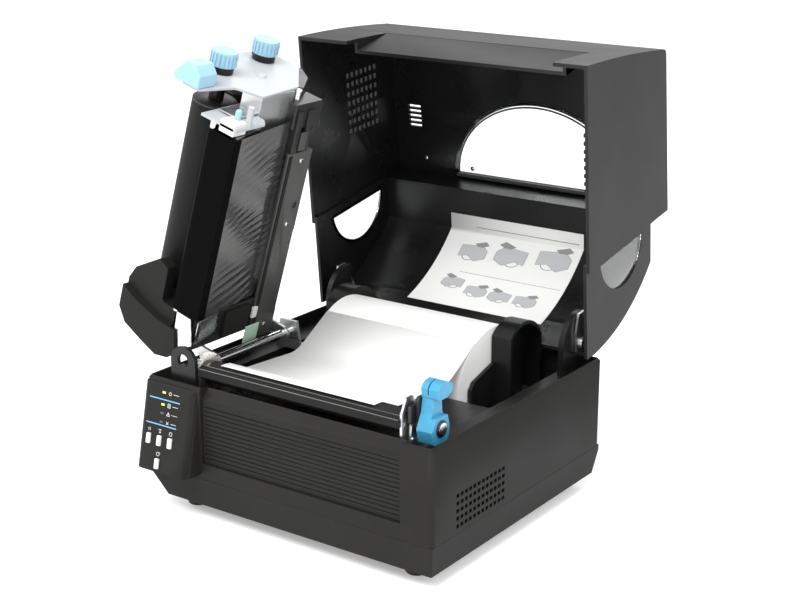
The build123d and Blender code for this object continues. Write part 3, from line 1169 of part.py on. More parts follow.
def make_head():
    low = HEAD_Z - UNIT_Z
    section = loop([(PLATEN_Y + y, w) for y, w in (
        (-1.0, low), (3.0, low), (35.0, low + 6.0), (35.0, 24.0), (29.0, 24.0), (29.0, 19.0), (25.0, 19.0),
        (25.0, 22.0), (21.0, 22.0), (21.0, 19.0), (17.0, 19.0), (17.0, 22.0), (13.0, 22.0), (13.0, 19.0),
        (5.0, 19.0),
    )])
    keep("print_head", raised(unit_x(along_x(section, HEAD_U0, HEAD_U1))))


def make_ribbon():
    head_w = FILM_Z - UNIT_Z
    front = (PLATEN_Y - 3.5, head_w)
    clear = NIP_GAP
    rod = (GUIDE_ROD_Y, GUIDE_ROD_W)
    front_rod = (FRONT_ROD_Y, FRONT_ROD_W)
    reach = GUIDE_ROD_R + clear
    takeup = (TAKEUP_Y, TAKEUP_W)
    rise = math.degrees(math.atan2(TAKEUP_W - FRONT_ROD_W, TAKEUP_Y - FRONT_ROD_Y))
    cross = math.degrees(math.asin((TAKEUP_R + reach + FILM_T + clear) / math.dist(takeup, front_rod)))
    leave = math.radians(rise - cross - 90.0)
    points = [(takeup[0] + (TAKEUP_R + clear) * math.cos(leave),
               takeup[1] + (TAKEUP_R + clear) * math.sin(leave))]
    first = rise - cross + 90.0
    for step in range(4):
        angle = math.radians(first + (180.0 - first) * step / 3)
        points.append((front_rod[0] + (reach + FILM_T) * math.cos(angle),
                       front_rod[1] + (reach + FILM_T) * math.sin(angle)))
    rear = (PLATEN_Y + 5.0, head_w)
    under = tangent_point(rear, rod, reach + FILM_T, -1)
    points += [front, rear, under]
    start = math.degrees(math.atan2(under[1] - rod[1], under[0] - rod[0]))
    supply = (SUPPLY_Y, SUPPLY_W)
    span = math.dist(rod, supply)
    toward = math.degrees(math.atan2(supply[1] - rod[1], supply[0] - rod[0]))
    lean = math.degrees(math.asin((SUPPLY_R - GUIDE_ROD_R) / span))
    final = toward - lean - 90.0
    for step in range(1, 5):
        angle = math.radians(start + (final - start) * step / 4)
        points.append((rod[0] + (reach + FILM_T) * math.cos(angle),
                       rod[1] + (reach + FILM_T) * math.sin(angle)))
    angle = math.radians(final)
    points.append((supply[0] + (SUPPLY_R + clear + FILM_T) * math.cos(angle),
                   supply[1] + (SUPPLY_R + clear + FILM_T) * math.sin(angle)))
    film = along_x(strip(points, FILM_T), FILM_U0, FILM_U1)
    keep("ribbon_film", raised(unit_x(film)))
    back_bar = rod_x(END_LEFT + END_T, END_U, *rod, GUIDE_ROD_R)
    front_bar = rod_x(HOUSING_END, HEAD_ARM_U, *front_rod, GUIDE_ROD_R)
    keep("film_guide_rod", raised(unit_x(group([back_bar, front_bar]))))
    bar = block(BAR_U0, BAR_U1, BAR_Y0, BAR_Y1, BAR_W, BAR_W + BAR_T)
    bar = chamfer(bar.edges().filter_by(Axis.X), 1.0)
    bar -= block(118.0, 123.0, BAR_Y1 - 11.0, BAR_Y1 - 6.0, BAR_W - 1, BAR_W + 1.5)
    bar -= block(20.0, 96.0, BAR_Y1 - 1.5, BAR_Y1, BAR_W - 1, BAR_W + 2)
    keep("sensor_bar", raised(unit_x(bar)))


def make_spools():
    spools = (("takeup", TAKEUP_Y, TAKEUP_W, TAKEUP_R), ("supply", SUPPLY_Y, SUPPLY_W, SUPPLY_R))
    for name, y, w, radius in spools:
        roll = rod_x(FILM_U0, FILM_U1, y, w, radius) - rod_x(FILM_U0 - 1, FILM_U1 + 1, y, w, RIBBON_CORE_R)
        core = rod_x(FILM_U0 - 2, FILM_U1 + 3, y, w, RIBBON_CORE_R)
        core -= rod_x(FILM_U0 - 3, FILM_U1 + 4, y, w, RIBBON_CORE_R - 1.5)
        spindle = rod_x(END_LEFT - 1, END_U + END_T + FLANGE_T + 1, y, w, SPINDLE_R)
        for u in (FILM_U0 + 8, FILM_U1 - 14):
            spindle += rod_x(u, u + 6, y, w, RIBBON_CORE_R - 1.5)
        flange_u = END_U + END_T + 0.5
        flange = rod_x(flange_u, flange_u + FLANGE_T, y, w, FLANGE_R)
        tab = along_x(loop([(y - 3, w + FLANGE_R - 3), (y - 1, w + FLANGE_R + 2.5), (y + 1, w + FLANGE_R + 2.5),
                            (y + 3, w + FLANGE_R - 3)]), flange_u, flange_u + FLANGE_T)
        flange += tab
        knob_u = flange_u + FLANGE_T
        knob = rod_x(knob_u, knob_u + KNOB_L, 0, 0, KNOB_R - 0.8)
        ribs = []
        for number in range(KNOB_RIBS):
            angle = 360.0 * number / KNOB_RIBS
            rib = block(knob_u + 1, knob_u + KNOB_L - 1, -0.9, 0.9, KNOB_R - 2, KNOB_R)
            ribs.append(Rot(angle, 0, 0) * rib)
        knob = Pos(0, y, w) * (knob + ribs)
        knob -= rod_x(knob_u - 1, END_U + END_T + FLANGE_T + 1, y, w, SPINDLE_R)
        keep(f"{name}_roll", raised(unit_x(roll)))
        keep(f"{name}_core", raised(unit_x(core)))
        keep(f"{name}_spindle", raised(unit_x(spindle + flange)))
        keep(f"{name}_knob", raised(unit_x(knob)))


def make_unit_housing():
    outline = make_face(Plane.XZ * loop([
        (-8.5, 42.0), (-3.4, 60.5), (3.0, 79.5), (14.5, 88.5), (40.0, 88.5), (52.0, 83.0), (70.0, 61.0),
        (66.0, 50.0), (HOUSING_END, 50.0), (HOUSING_END, 29.0), (20.0, 27.0), (4.0, 22.5), (-4.5, 28.5)], 2.9))
    corner = make_face(Plane.XZ * loop([
        (21.5, 10.0), (21.5, 28.0), (23.0, 50.0), (28.5, 74.0), (38.0, 96.0), (100.0, 96.0), (100.0, 10.0)]))
    depth = HOUSING_Y1 - HOUSING_Y0
    step = Pos(0, HOUSING_Y0 - 1, 0) * extrude(corner, amount=HOUSING_STEP + 1, dir=(0, 1, 0))
    form = Pos(0, HOUSING_Y0, 0) * extrude(outline, amount=depth, dir=(0, 1, 0))
    hollow = Pos(0, HOUSING_Y0 + HOUSING_T, 0) * extrude(
        offset(outline, amount=-HOUSING_T), amount=depth - 2 * HOUSING_T, dir=(0, 1, 0))
    hollow -= Pos(0, HOUSING_Y0 - 1, 0) * extrude(
        offset(corner, amount=HOUSING_T), amount=HOUSING_STEP + HOUSING_T + 1, dir=(0, 1, 0))
    housing = form - step - hollow
    housing -= block(-1.0, HOUSING_END - HOUSING_T, HOUSING_Y0 + HOUSING_T, HOUSING_Y1 - HOUSING_T, 15, 34)
    housing -= block(HOUSING_END - HOUSING_T, 90, HOUSING_FRONT, HOUSING_Y1 + 1, 20, 100)
    walls = block(HOUSING_END - HOUSING_T, HOUSING_END, HOUSING_FRONT - HOUSING_T, HOUSING_Y1, 29, 100)
    walls += block(HOUSING_END, 90, HOUSING_FRONT - HOUSING_T, HOUSING_FRONT, 50, 100)
    housing += walls & form
    for y, w in ((TAKEUP_Y, TAKEUP_W), (SUPPLY_Y, SUPPLY_W)):
        housing -= rod_x(HOUSING_END - 4, HOUSING_END + 1, y, w, SPINDLE_R + 1)
    housing -= block(HOUSING_END - 4, HOUSING_END + 1, BEAM_Y0 - 1, BEAM_Y1 + 1, 20, BEAM_W1 + 1)
    keep("unit_housing", raised(unit_x(housing)))
    grip = along_y(loop([(END_U + END_T, 50.0), (END_U + END_T, 76.0), (END_U + 7, 76.0), (END_U + 19, 67.0),
                         (END_U + 19, 56.0), (END_U + 12, 50.0)]), HOUSING_Y0 - 1, HOUSING_Y0 + 19)
    grip = fillet(grip.edges().filter_by(Axis.Y).group_by(Axis.X)[-1], 1.5)
    keep("grip_wedge", raised(unit_x(grip)))


def make_sheet():
    face = rear_face(LAP)
    x0 = SHEET_X0
    x1 = SHEET_X1
    near = COVER_T + FIT
    band = sweep_x(offset(face, amount=-near), x0, x1) - sweep_x(offset(face, amount=-near - SHEET_T), x0, x1)
    y0, z1 = cover_point(SHEET_F, 0)
    low = cover_point(0, SHEET_H)[1]
    band &= block(x0, x1, y0, 200, low, 400)
    keep("instruction_sheet", opened(band))


make_tray()
make_case()
make_door()
make_panel()
make_chassis()
make_platen()
make_drive()
make_media()
make_guides()
make_lever()
make_rear()
make_hood()
make_rear_shell()
make_sheet()
make_unit_mounts()
make_unit_frame()
make_head()
make_ribbon()
make_spools()
make_unit_housing()

for name, shape in bodies.items():
    export_step(Pos(CASE_X, CASE_Y, 0) * shape, f"parts/{name}.step")
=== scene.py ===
"""Dresses the label printer's frame: shells, steel work, ribbon, media, printed panel and studio stage."""

import math

import bmesh
import bpy
from mathutils import Matrix, Vector
from mathutils.bvhtree import BVHTree


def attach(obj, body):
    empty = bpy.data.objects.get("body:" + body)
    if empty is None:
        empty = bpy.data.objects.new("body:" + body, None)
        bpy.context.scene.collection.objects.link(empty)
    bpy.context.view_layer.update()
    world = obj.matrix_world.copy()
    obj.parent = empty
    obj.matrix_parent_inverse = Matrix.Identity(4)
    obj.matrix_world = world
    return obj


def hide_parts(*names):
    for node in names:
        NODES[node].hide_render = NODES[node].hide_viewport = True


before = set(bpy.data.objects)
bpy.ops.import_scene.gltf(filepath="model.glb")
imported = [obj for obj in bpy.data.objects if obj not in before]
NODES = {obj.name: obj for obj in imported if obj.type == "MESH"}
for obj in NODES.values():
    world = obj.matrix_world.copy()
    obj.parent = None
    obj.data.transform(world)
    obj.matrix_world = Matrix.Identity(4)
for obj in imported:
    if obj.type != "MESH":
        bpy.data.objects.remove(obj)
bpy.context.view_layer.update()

bl_info = {
    "name": "Label Printer",
    "version": (1, 0, 0),
    "blender": (4, 5, 0),
    "location": "3D View > Sidebar > Label Printer",
    "description": "Detailed pieces and finishes for a desktop label printer with its cover open",
    "category": "Add Mesh",
}

MM = 0.001
# Where the case's centre stands in the frame, and the two big hinges, in millimetres as the CAD has them
CASE_X = 30.68
CASE_Y = -45.59
HINGE_Y = 116.0
HINGE_Z = 125.5
COVER_OPEN = math.radians(84.8)
COVER_BACK = 115.1
COVER_Z = 113.2
UNIT_X = -108.0
UNIT_Z = 117.8
UNIT_UP = math.radians(73.2)

# The control panel's slope, its printed rows up the slope and its columns across
PANEL_FOOT = (-142.5, 39.0)
PANEL_TOP = (-127.5, 110.0)
PANEL_INK_OUT = 0.08
PANEL_STRIPES = (((-132.0, 59.8), (-99.5, 59.8)), ((-133.0, 38.9), (-100.6, 38.9)))
LIT_FROM = 52.0
LIGHT_ROWS = (65.6, 55.8, 48.8, 41.6)
LIGHT_MARK_X = -110.5
TICK_X = (-107.0, -101.0)
BUTTON_MARK_X = (-128.8, -117.3, -105.8)
BUTTON_MARK_ROW = 33.6
MODE_MARK_ROW = 15.0

# The tear bar's two lines: x, and each one's y and z
TEAR_LINE_X = (-93.5, 101.5)
TEAR_LINES = ((-113.9, 123.9), (-108.2, 125.2))

# The cover's window rim, its screws and the latch teeth, as x, distance from the back and height
WINDOW_MIDDLE = (14, 87.5)
WINDOW_RIM = (86.5, 70.5)
RIM_H = 134.4
RIM_FROM = 79.4
ROOF_FALL = 0.035
COVER_SCREWS = ((-58, 92, 134.6), (-110, 96, 134.4), (110, 96, 134.4))
TEETH = 9
TOOTH_X = (134.8, 137.3)
TOOTH_F = 126
TOOTH_PITCH = 6.6
TOOTH_L = 3.2
TOOTH_H = (1.5, 7.5)
# The room inside the closed cover: x, its roofs and where they change, and the two walls' distances at heights
ROOM_X = (-144.0, 139.5)
ROOM_ROOF = (112.0, 137.5)
ROOF_STEP = 79.0
ROOM_FLOOR = 0.5
ROOM_REAR = ((10.0, -9.3), (59.7, 3.2), (95.0, 24.0), (112.5, 40.0))
ROOM_FRONT = ((0.0, 236.7), (60.0, 231.8), (132.0, 222.5))
ROOM_PROBE = 5.0

# The instruction sheet's upper left corner and a hundredth of its reach, as x, distance and height
SHEET_CORNER = (-67.0, 55.5, 111.0)
SHEET_PART = (1.4, 0.585, 0.78)
SHEET_INK_OUT = 0.12
SHEET_RULES = (((20, 8), (97, 8)), ((22, 56), (97, 56)))
# One pictogram of the sheet, and where each stands: across, down and size
PRINTER_OUTLINE = ((-9, -6), (5, -8), (9, -3), (9, 4), (3, 8), (-3, 3), (-9, 5))
PRINTER_FLAP = ((-1, -9), (6, -12), (9, -9), (3, -5))
PRINTER_FOLD = ((-6, -3), (2, -4), (6, 1), (0, 5))
PRINTER_SPOTS = ((24, 33, 1.1), (52, 31, 1.25), (83, 27, 1.3), (22, 70, 0.85), (42, 76, 0.85), (60, 77, 0.85),
                 (79, 77, 0.85))

# Outlines in the print unit, as y and height over its hinge or, for the side steel, as u and height
END_COWL = ((14, 66), (25, 69), (32, 57), (20, 40), (-3, 26), (-12, 33), (2, 45), (12, 56))
HEAD_STRIP = ((-98, 9.5), (-94, 9.5), (-62, 15.5), (-62, 14.8), (-94, 9.0), (-98, 9.0))
SIDE_STEEL = ((37.7, 30), (37.7, 15.3), (15.5, 9), (5, 23.5), (15, 28.5))
END_COWL_U = (206, 219)
HEAD_STRIP_U = (18, 36)
SIDE_STEEL_Y = (-101.5, -100.3)
# Boxes in the print unit: name, two corners as u, y and height, finish and edge width
UNIT_BOXES = (
    ("head_block", (198.5, -100, 12), (208.5, -85, 27), "white_block", 0.8),
    ("foot_block", (6, -93, 14.5), (36, 8, 25), "satin_black", 1.0),
    ("foot_step", (10, -60, 10.5), (34, -30, 15), "unit_black", 0.8),
    ("foot_tab", (20, -27, 9.8), (30, -21, 12), "white_block", 0.3),
    ("bar_strip", (0, -22.5, 10.9), (168, -18.5, 11.7), "unit_black", 0.2),
    ("bar_post", (166, -21, 12), (206, -14, 18), "satin_black", 0.6),
    ("bar_post_rear", (166, -8, 12), (206, 0, 20), "satin_black", 0.6),
    ("latch_cluster", (190, -24, 14), (212, 10, 30), "satin_black", 1.2),
    ("bar_plate", (172, -14, 10.6), (188, -6, 12), "bar_grey", 0.3),
    ("head_plate", (206, -84, 24), (207.5, -48, 42), "bright_steel", 0.3),
    ("sensor_tile", (-3, -32, 9.5), (13, -15, 10.6), "pale_green", 0.3),
)
# Screws on the unit's end and on the sensor bar, as u, y and height
END_SCREWS = ((205.2, -66, 30), (205.2, -40, 30), (205.2, -20, 30), (223.1, -90, 60))
BAR_SCREWS = ((8, -6, 11.4), (104, -6, 11.4), (162, -6, 11.4))

# The ribbon film's way, as y and height over the unit's hinge, and its edges
FILM_FRONT = ((-50.5, 52.0), (-98.1, 37.5), (-99.4, 36.8), (-100.4, 35.5), (-100.7, 34.0), (-100.5, 8.8))
FILM_UNDER = ((-92.0, 8.8), (-15.0, 18.8))
FILM_BACK = ((-15.0, 18.8), (-14.5, 18.9), (-14.0, 19.1), (-13.6, 19.3), (-13.1, 19.7), (23.5, 50.1))
FILM_U = (38.0, 197.0)
FILM_STEP = 1.6
FILM_RIDGE = 1.1
# The two ribbon rolls: name, y and height of the axis, and the roll's radius
ROLLS = (("takeup", -56.0, 70.0, 18.5), ("supply", 2.0, 76.0, 32.0))
FLANGE_U = 197.4

# Lamps: name, place, what each looks at, size, and the setting with its power
LAMPS = (
    ("key_lamp", (0.3, -1.5, 2.3), (0.0, 0.0, 0.15), 1.6, "key_power"),
    ("fill_lamp", (2.1, -0.3, 1.5), (0.0, 0.1, 0.25), 1.3, "fill_power"),
    ("left_lamp", (-1.9, -1.2, 1.2), (0.0, 0.0, 0.2), 1.3, "fill_power"),
    ("back_lamp", (-0.6, 1.9, 1.9), (0.0, 0.0, 0.2), 1.2, "fill_power"),
)
WORLD_LEVEL = 0.85
FLOOR_REACH = 9.0
FLOOR_LIFT = 0.3
CAMERA_PLACE = (0.77262, -1.05598, 0.5535)
CAMERA_RIGHT = (0.8145, 0.5801, 0.0)
CAMERA_BACK = (0.5546, -0.7787, 0.2932)
WHITE = (1.0, 1.0, 1.0, 1.0)
SQUARE = ((-1, -1), (1, -1), (1, 1), (-1, 1))

# Mesh cleaning: how near points are joined, and the angles for flat faces and sharp edges
POINT_WELD = 1e-7
NODE_WELD = 2e-6
FLAT_ANGLE = math.radians(0.8)
SHARP_ANGLE = math.radians(32.0)
# A screw's dome as distance and radius, in shares of its own radius, and how deep it stands in a face
SCREW_DOME = ((0.0, 1.0), (0.28, 0.94), (0.5, 0.62), (0.56, 0.3), (0.25, 0.22))
SCREW_SUNK = -0.4

# Heights of moulded grain and of slow waves in a gloss, in metres
DEEP_GRAIN = 0.00003
FINE_GRAIN = 0.000008
SLOW_WAVE = 0.0004
FLAT_WAVE = 0.0002


def case_point(x, y, z):
    """A point of the case, in millimetres from the case's centre on the desk, as a place in the frame."""
    return Vector((x + CASE_X, y + CASE_Y, z)) * MM


def cover_point(x, f, h):
    """A point of the cover from its distance before the closed cover's back and its height over the rim."""
    dy = COVER_BACK - f - HINGE_Y
    dz = COVER_Z + h - HINGE_Z
    y = HINGE_Y + dy * math.cos(COVER_OPEN) + dz * math.sin(COVER_OPEN)
    z = HINGE_Z - dy * math.sin(COVER_OPEN) + dz * math.cos(COVER_OPEN)
    return case_point(x, y, z)


def unit_point(u, y, w):
    """A point of the raised print unit: u out from its hinge, y as in the case, w its height when lowered."""
    x = UNIT_X + u * math.cos(UNIT_UP) - w * math.sin(UNIT_UP)
    z = UNIT_Z + u * math.sin(UNIT_UP) + w * math.cos(UNIT_UP)
    return case_point(x, y, z)


def panel_point(x, t, out=0.0):
    """A point of the sloped control panel: t up the slope from its foot, out from its face."""
    dy = PANEL_TOP[0] - PANEL_FOOT[0]
    dz = PANEL_TOP[1] - PANEL_FOOT[1]
    length = math.hypot(dy, dz)
    y = PANEL_FOOT[0] + (dy * t - dz * out) / length
    z = PANEL_FOOT[1] + (dz * t + dy * out) / length
    return case_point(x, y, z)


# Shader helpers


def fill(tree, node, inputs):
    """Fills a node's inputs with values or with other nodes' outputs."""
    for key, value in inputs.items():
        if isinstance(value, bpy.types.NodeSocket):
            tree.links.new(value, node.inputs[key])
        else:
            node.inputs[key].default_value = value
    return node


def shader_node(tree, kind, inputs=None, **settings):
    """Adds a node with its settings and inputs."""
    node = tree.nodes.new(kind)
    for key, value in settings.items():
        setattr(node, key, value)
    return fill(tree, node, inputs or {})


def worked(tree, operation, one, two):
    """What a maths node makes of two numbers."""
    return shader_node(tree, "ShaderNodeMath", {0: one, 1: two}, operation=operation).outputs[0]


def own_place(tree):
    """A point's place in its piece's own space."""
    return shader_node(tree, "ShaderNodeTexCoord").outputs["Object"]


def noise(tree, scale, detail=2.0, roughness=0.5, place=None):
    """Noise over a place, or over the piece's own space."""
    return shader_node(tree, "ShaderNodeTexNoise", {
        "Vector": place or own_place(tree), "Scale": scale, "Detail": detail,
        "Roughness": roughness}).outputs["Fac"]


def shade_between(tree, factor, dark, light):
    """A colour that runs between two colours or nodes' outputs as factor runs from 0 to 1."""
    return shader_node(tree, "ShaderNodeMix", {
        "Factor": factor, "A": dark, "B": light}, data_type="RGBA").outputs["Result"]


def number_between(tree, factor, low, high, start=0.0, stop=1.0):
    """A number that runs from low to high as factor runs from start to stop."""
    return shader_node(tree, "ShaderNodeMapRange", {
        "Value": factor, "From Min": start, "From Max": stop, "To Min": low, "To Max": high}).outputs[0]


def effect_group(name, inputs, outputs):
    """A new shader node group with float inputs and outputs, and its two end nodes."""
    group = bpy.data.node_groups.new(name, "ShaderNodeTree")
    for label, value in inputs.items():
        socket = group.interface.new_socket(label, in_out="INPUT", socket_type="NodeSocketFloat")
        socket.default_value = value
    for label in outputs:
        group.interface.new_socket(label, in_out="OUTPUT", socket_type="NodeSocketFloat")
    return group, group.nodes.new("NodeGroupInput"), group.nodes.new("NodeGroupOutput")


def grain_effect(name):
    """Moulded grain: a fine pebbled height and a slow patchiness, for injection moulded plastic."""
    group, start, end = effect_group(name, {"Grains per metre": 1500.0}, ("Height", "Patch"))
    pebbles = shader_node(group, "ShaderNodeTexVoronoi", {
        "Vector": own_place(group), "Scale": start.outputs[0], "Smoothness": 0.6, "Randomness": 1.0},
        feature="SMOOTH_F1")
    both = worked(group, "ADD", pebbles.outputs["Distance"], noise(group, start.outputs[0]))
    fill(group, end, {"Height": both, "Patch": noise(group, 14.0, 3.0, 0.6)})
    return group


def rub_effect(name):
    """Edge rub: a mask that is 1 along convex edges, broken up by noise, for handled and worn corners."""
    group, start, end = effect_group(name, {"Width": 0.0012, "Breaks": 90.0}, ("Mask",))
    rounded = shader_node(group, "ShaderNodeBevel", {"Radius": start.outputs[0]}, samples=4)
    flat = shader_node(group, "ShaderNodeNewGeometry")
    likeness = shader_node(group, "ShaderNodeVectorMath", {
        0: rounded.outputs[0], 1: flat.outputs["Normal"]}, operation="DOT_PRODUCT")
    edge = number_between(group, likeness.outputs["Value"], 0.0, 1.0, 1.0, 0.9)
    fill(group, end, {"Mask": worked(group, "MULTIPLY", edge, noise(group, start.outputs[1], 3.0))})
    return group


def smear_effect(name):
    """Handling smears: slow blotches and fine streaks that change a gloss."""
    group, start, end = effect_group(name, {"Blotches per metre": 30.0, "Stretch": 1.0}, ("Amount", "Streak"))
    pulled = shader_node(group, "ShaderNodeCombineXYZ", {"X": start.outputs[1], "Y": 1.0, "Z": 1.0})
    stretched = shader_node(group, "ShaderNodeVectorMath", {
        0: own_place(group), 1: pulled.outputs[0]}, operation="MULTIPLY")
    fill(group, end, {"Amount": noise(group, start.outputs[0], 5.0, 0.55),
                      "Streak": noise(group, 700.0, 3.0, place=stretched.outputs[0])})
    return group


EFFECTS = {"Moulded Grain": grain_effect, "Edge Rub": rub_effect, "Smears": smear_effect}


def placed_group(tree, name, values=None):
    """An effect in a material, with its own input values."""
    node = tree.nodes.new("ShaderNodeGroup")
    node.node_tree = bpy.data.node_groups.get(name) or EFFECTS[name](name)
    return fill(tree, node, values or {})


def new_material(name, metallic=0.0, level=0.5):
    """An empty material with a Principled shader, whose steady values sit on its own sockets."""
    material = bpy.data.materials.new(name)
    material.use_nodes = True
    tree = material.node_tree
    surface = fill(tree, tree.nodes["Principled BSDF"], {"Metallic": metallic, "Specular IOR Level": level})
    return material, tree, surface


def tinted(colour, gain):
    """A colour made lighter or darker, with its alpha."""
    return (*(min(1.0, part * gain) for part in colour), 1.0)


def colour_by(tree, surface, factor, colour, low, high):
    """Gives the surface a colour that runs between two gains of it."""
    base = shade_between(tree, factor, tinted(colour, low), tinted(colour, high))
    tree.links.new(base, surface.inputs["Base Color"])
    return base


def gloss_by(tree, surface, factor, low, high, start=0.0, stop=1.0):
    """Gives the surface a roughness that runs from low to high."""
    tree.links.new(number_between(tree, factor, low, high, start, stop), surface.inputs["Roughness"])


def bump_into(tree, surface, height, distance, strength=1.0):
    """Feeds a height into the surface's normal."""
    bump = shader_node(tree, "ShaderNodeBump", {"Height": height, "Distance": distance, "Strength": strength})
    tree.links.new(bump.outputs[0], surface.inputs["Normal"])


def moulded_finish(name, colour, grains, depth, roughness, rub, level=0.5):
    """Grained matt plastic with paler rubbed edges."""
    material, tree, surface = new_material(name, level=level)
    grain = placed_group(tree, "Moulded Grain", {"Grains per metre": grains})
    edge = placed_group(tree, "Edge Rub")
    patch = grain.outputs["Patch"]
    base = shade_between(tree, patch, tinted(colour, 0.82), tinted(colour, 1.18))
    worn = shade_between(tree, number_between(tree, edge.outputs["Mask"], 0.0, rub), base, tinted(colour, 3.2))
    tree.links.new(worn, surface.inputs["Base Color"])
    gloss_by(tree, surface, patch, roughness + 0.06, roughness - 0.06)
    bump_into(tree, surface, grain.outputs["Height"], depth)
    return material


def gloss_finish(name, colour, roughness, wave=SLOW_WAVE, level=0.5):
    """Smooth moulded plastic with handling smears in its gloss."""
    material, tree, surface = new_material(name, level=level)
    smear = placed_group(tree, "Smears", {"Blotches per metre": 24.0}).outputs["Amount"]
    colour_by(tree, surface, smear, colour, 0.85, 1.2)
    gloss_by(tree, surface, smear, roughness - 0.05, roughness + 0.1, 0.3, 0.7)
    bump_into(tree, surface, smear, wave, 0.4)
    return material


def steel_finish(name, colour, roughness, brush=0.25):
    """Rolled or turned metal with fine lines."""
    material, tree, surface = new_material(name, metallic=1.0)
    streak = placed_group(tree, "Smears", {"Blotches per metre": 40.0, "Stretch": 0.04}).outputs["Streak"]
    colour_by(tree, surface, streak, colour, 0.86, 1.1)
    gloss_by(tree, surface, streak, roughness - 0.08, roughness + 0.1, 0.3, 0.7)
    bump_into(tree, surface, streak, 0.00002, brush)
    return material


def paper_finish(name, colour, roughness=0.62):
    """Coated paper: a near white with faint fibre clouds."""
    material, tree, surface = new_material(name, level=0.35)
    fibre = noise(tree, 900.0, 4.0)
    colour_by(tree, surface, noise(tree, 25.0), colour, 0.975, 1.02)
    gloss_by(tree, surface, fibre, roughness - 0.06, roughness + 0.06)
    bump_into(tree, surface, fibre, 0.00001, 0.3)
    return material


def film_finish(name, colour, roughness, level):
    """Ribbon film: a dark sheen with fine tension lines."""
    material, tree, surface = new_material(name, level=level)
    smear = placed_group(tree, "Smears", {"Blotches per metre": 18.0, "Stretch": 0.2})
    colour_by(tree, surface, smear.outputs["Amount"], colour, 0.8, 1.5)
    gloss_by(tree, surface, smear.outputs["Amount"], roughness - 0.07, roughness + 0.07, 0.3, 0.7)
    bump_into(tree, surface, smear.outputs["Streak"], 0.00001, 0.3)
    return material


def clear_finish(name, colour):
    """Clear moulded plastic."""
    material, tree, surface = new_material(name)
    fill(tree, surface, {"Transmission Weight": 1.0, "IOR": 1.49})
    smear = placed_group(tree, "Smears", {"Blotches per metre": 20.0}).outputs["Amount"]
    colour_by(tree, surface, smear, colour, 0.97, 1.0)
    gloss_by(tree, surface, smear, 0.03, 0.08, 0.4, 0.7)
    return material


def lit_finish(name, colour, strength):
    """A lens that glows."""
    material, tree, surface = new_material(name)
    smear = placed_group(tree, "Smears", {"Blotches per metre": 900.0}).outputs["Amount"]
    base = colour_by(tree, surface, smear, colour, 0.9, 1.0)
    fill(tree, surface, {"Emission Color": base, "Emission Strength": strength, "Roughness": 0.3})
    return material


def printed_finish(name, colour):
    """Printed ink on a panel or sheet."""
    material, tree, surface = new_material(name)
    speck = noise(tree, 2500.0)
    colour_by(tree, surface, speck, colour, 0.9, 1.08)
    gloss_by(tree, surface, speck, 0.4, 0.5)
    return material


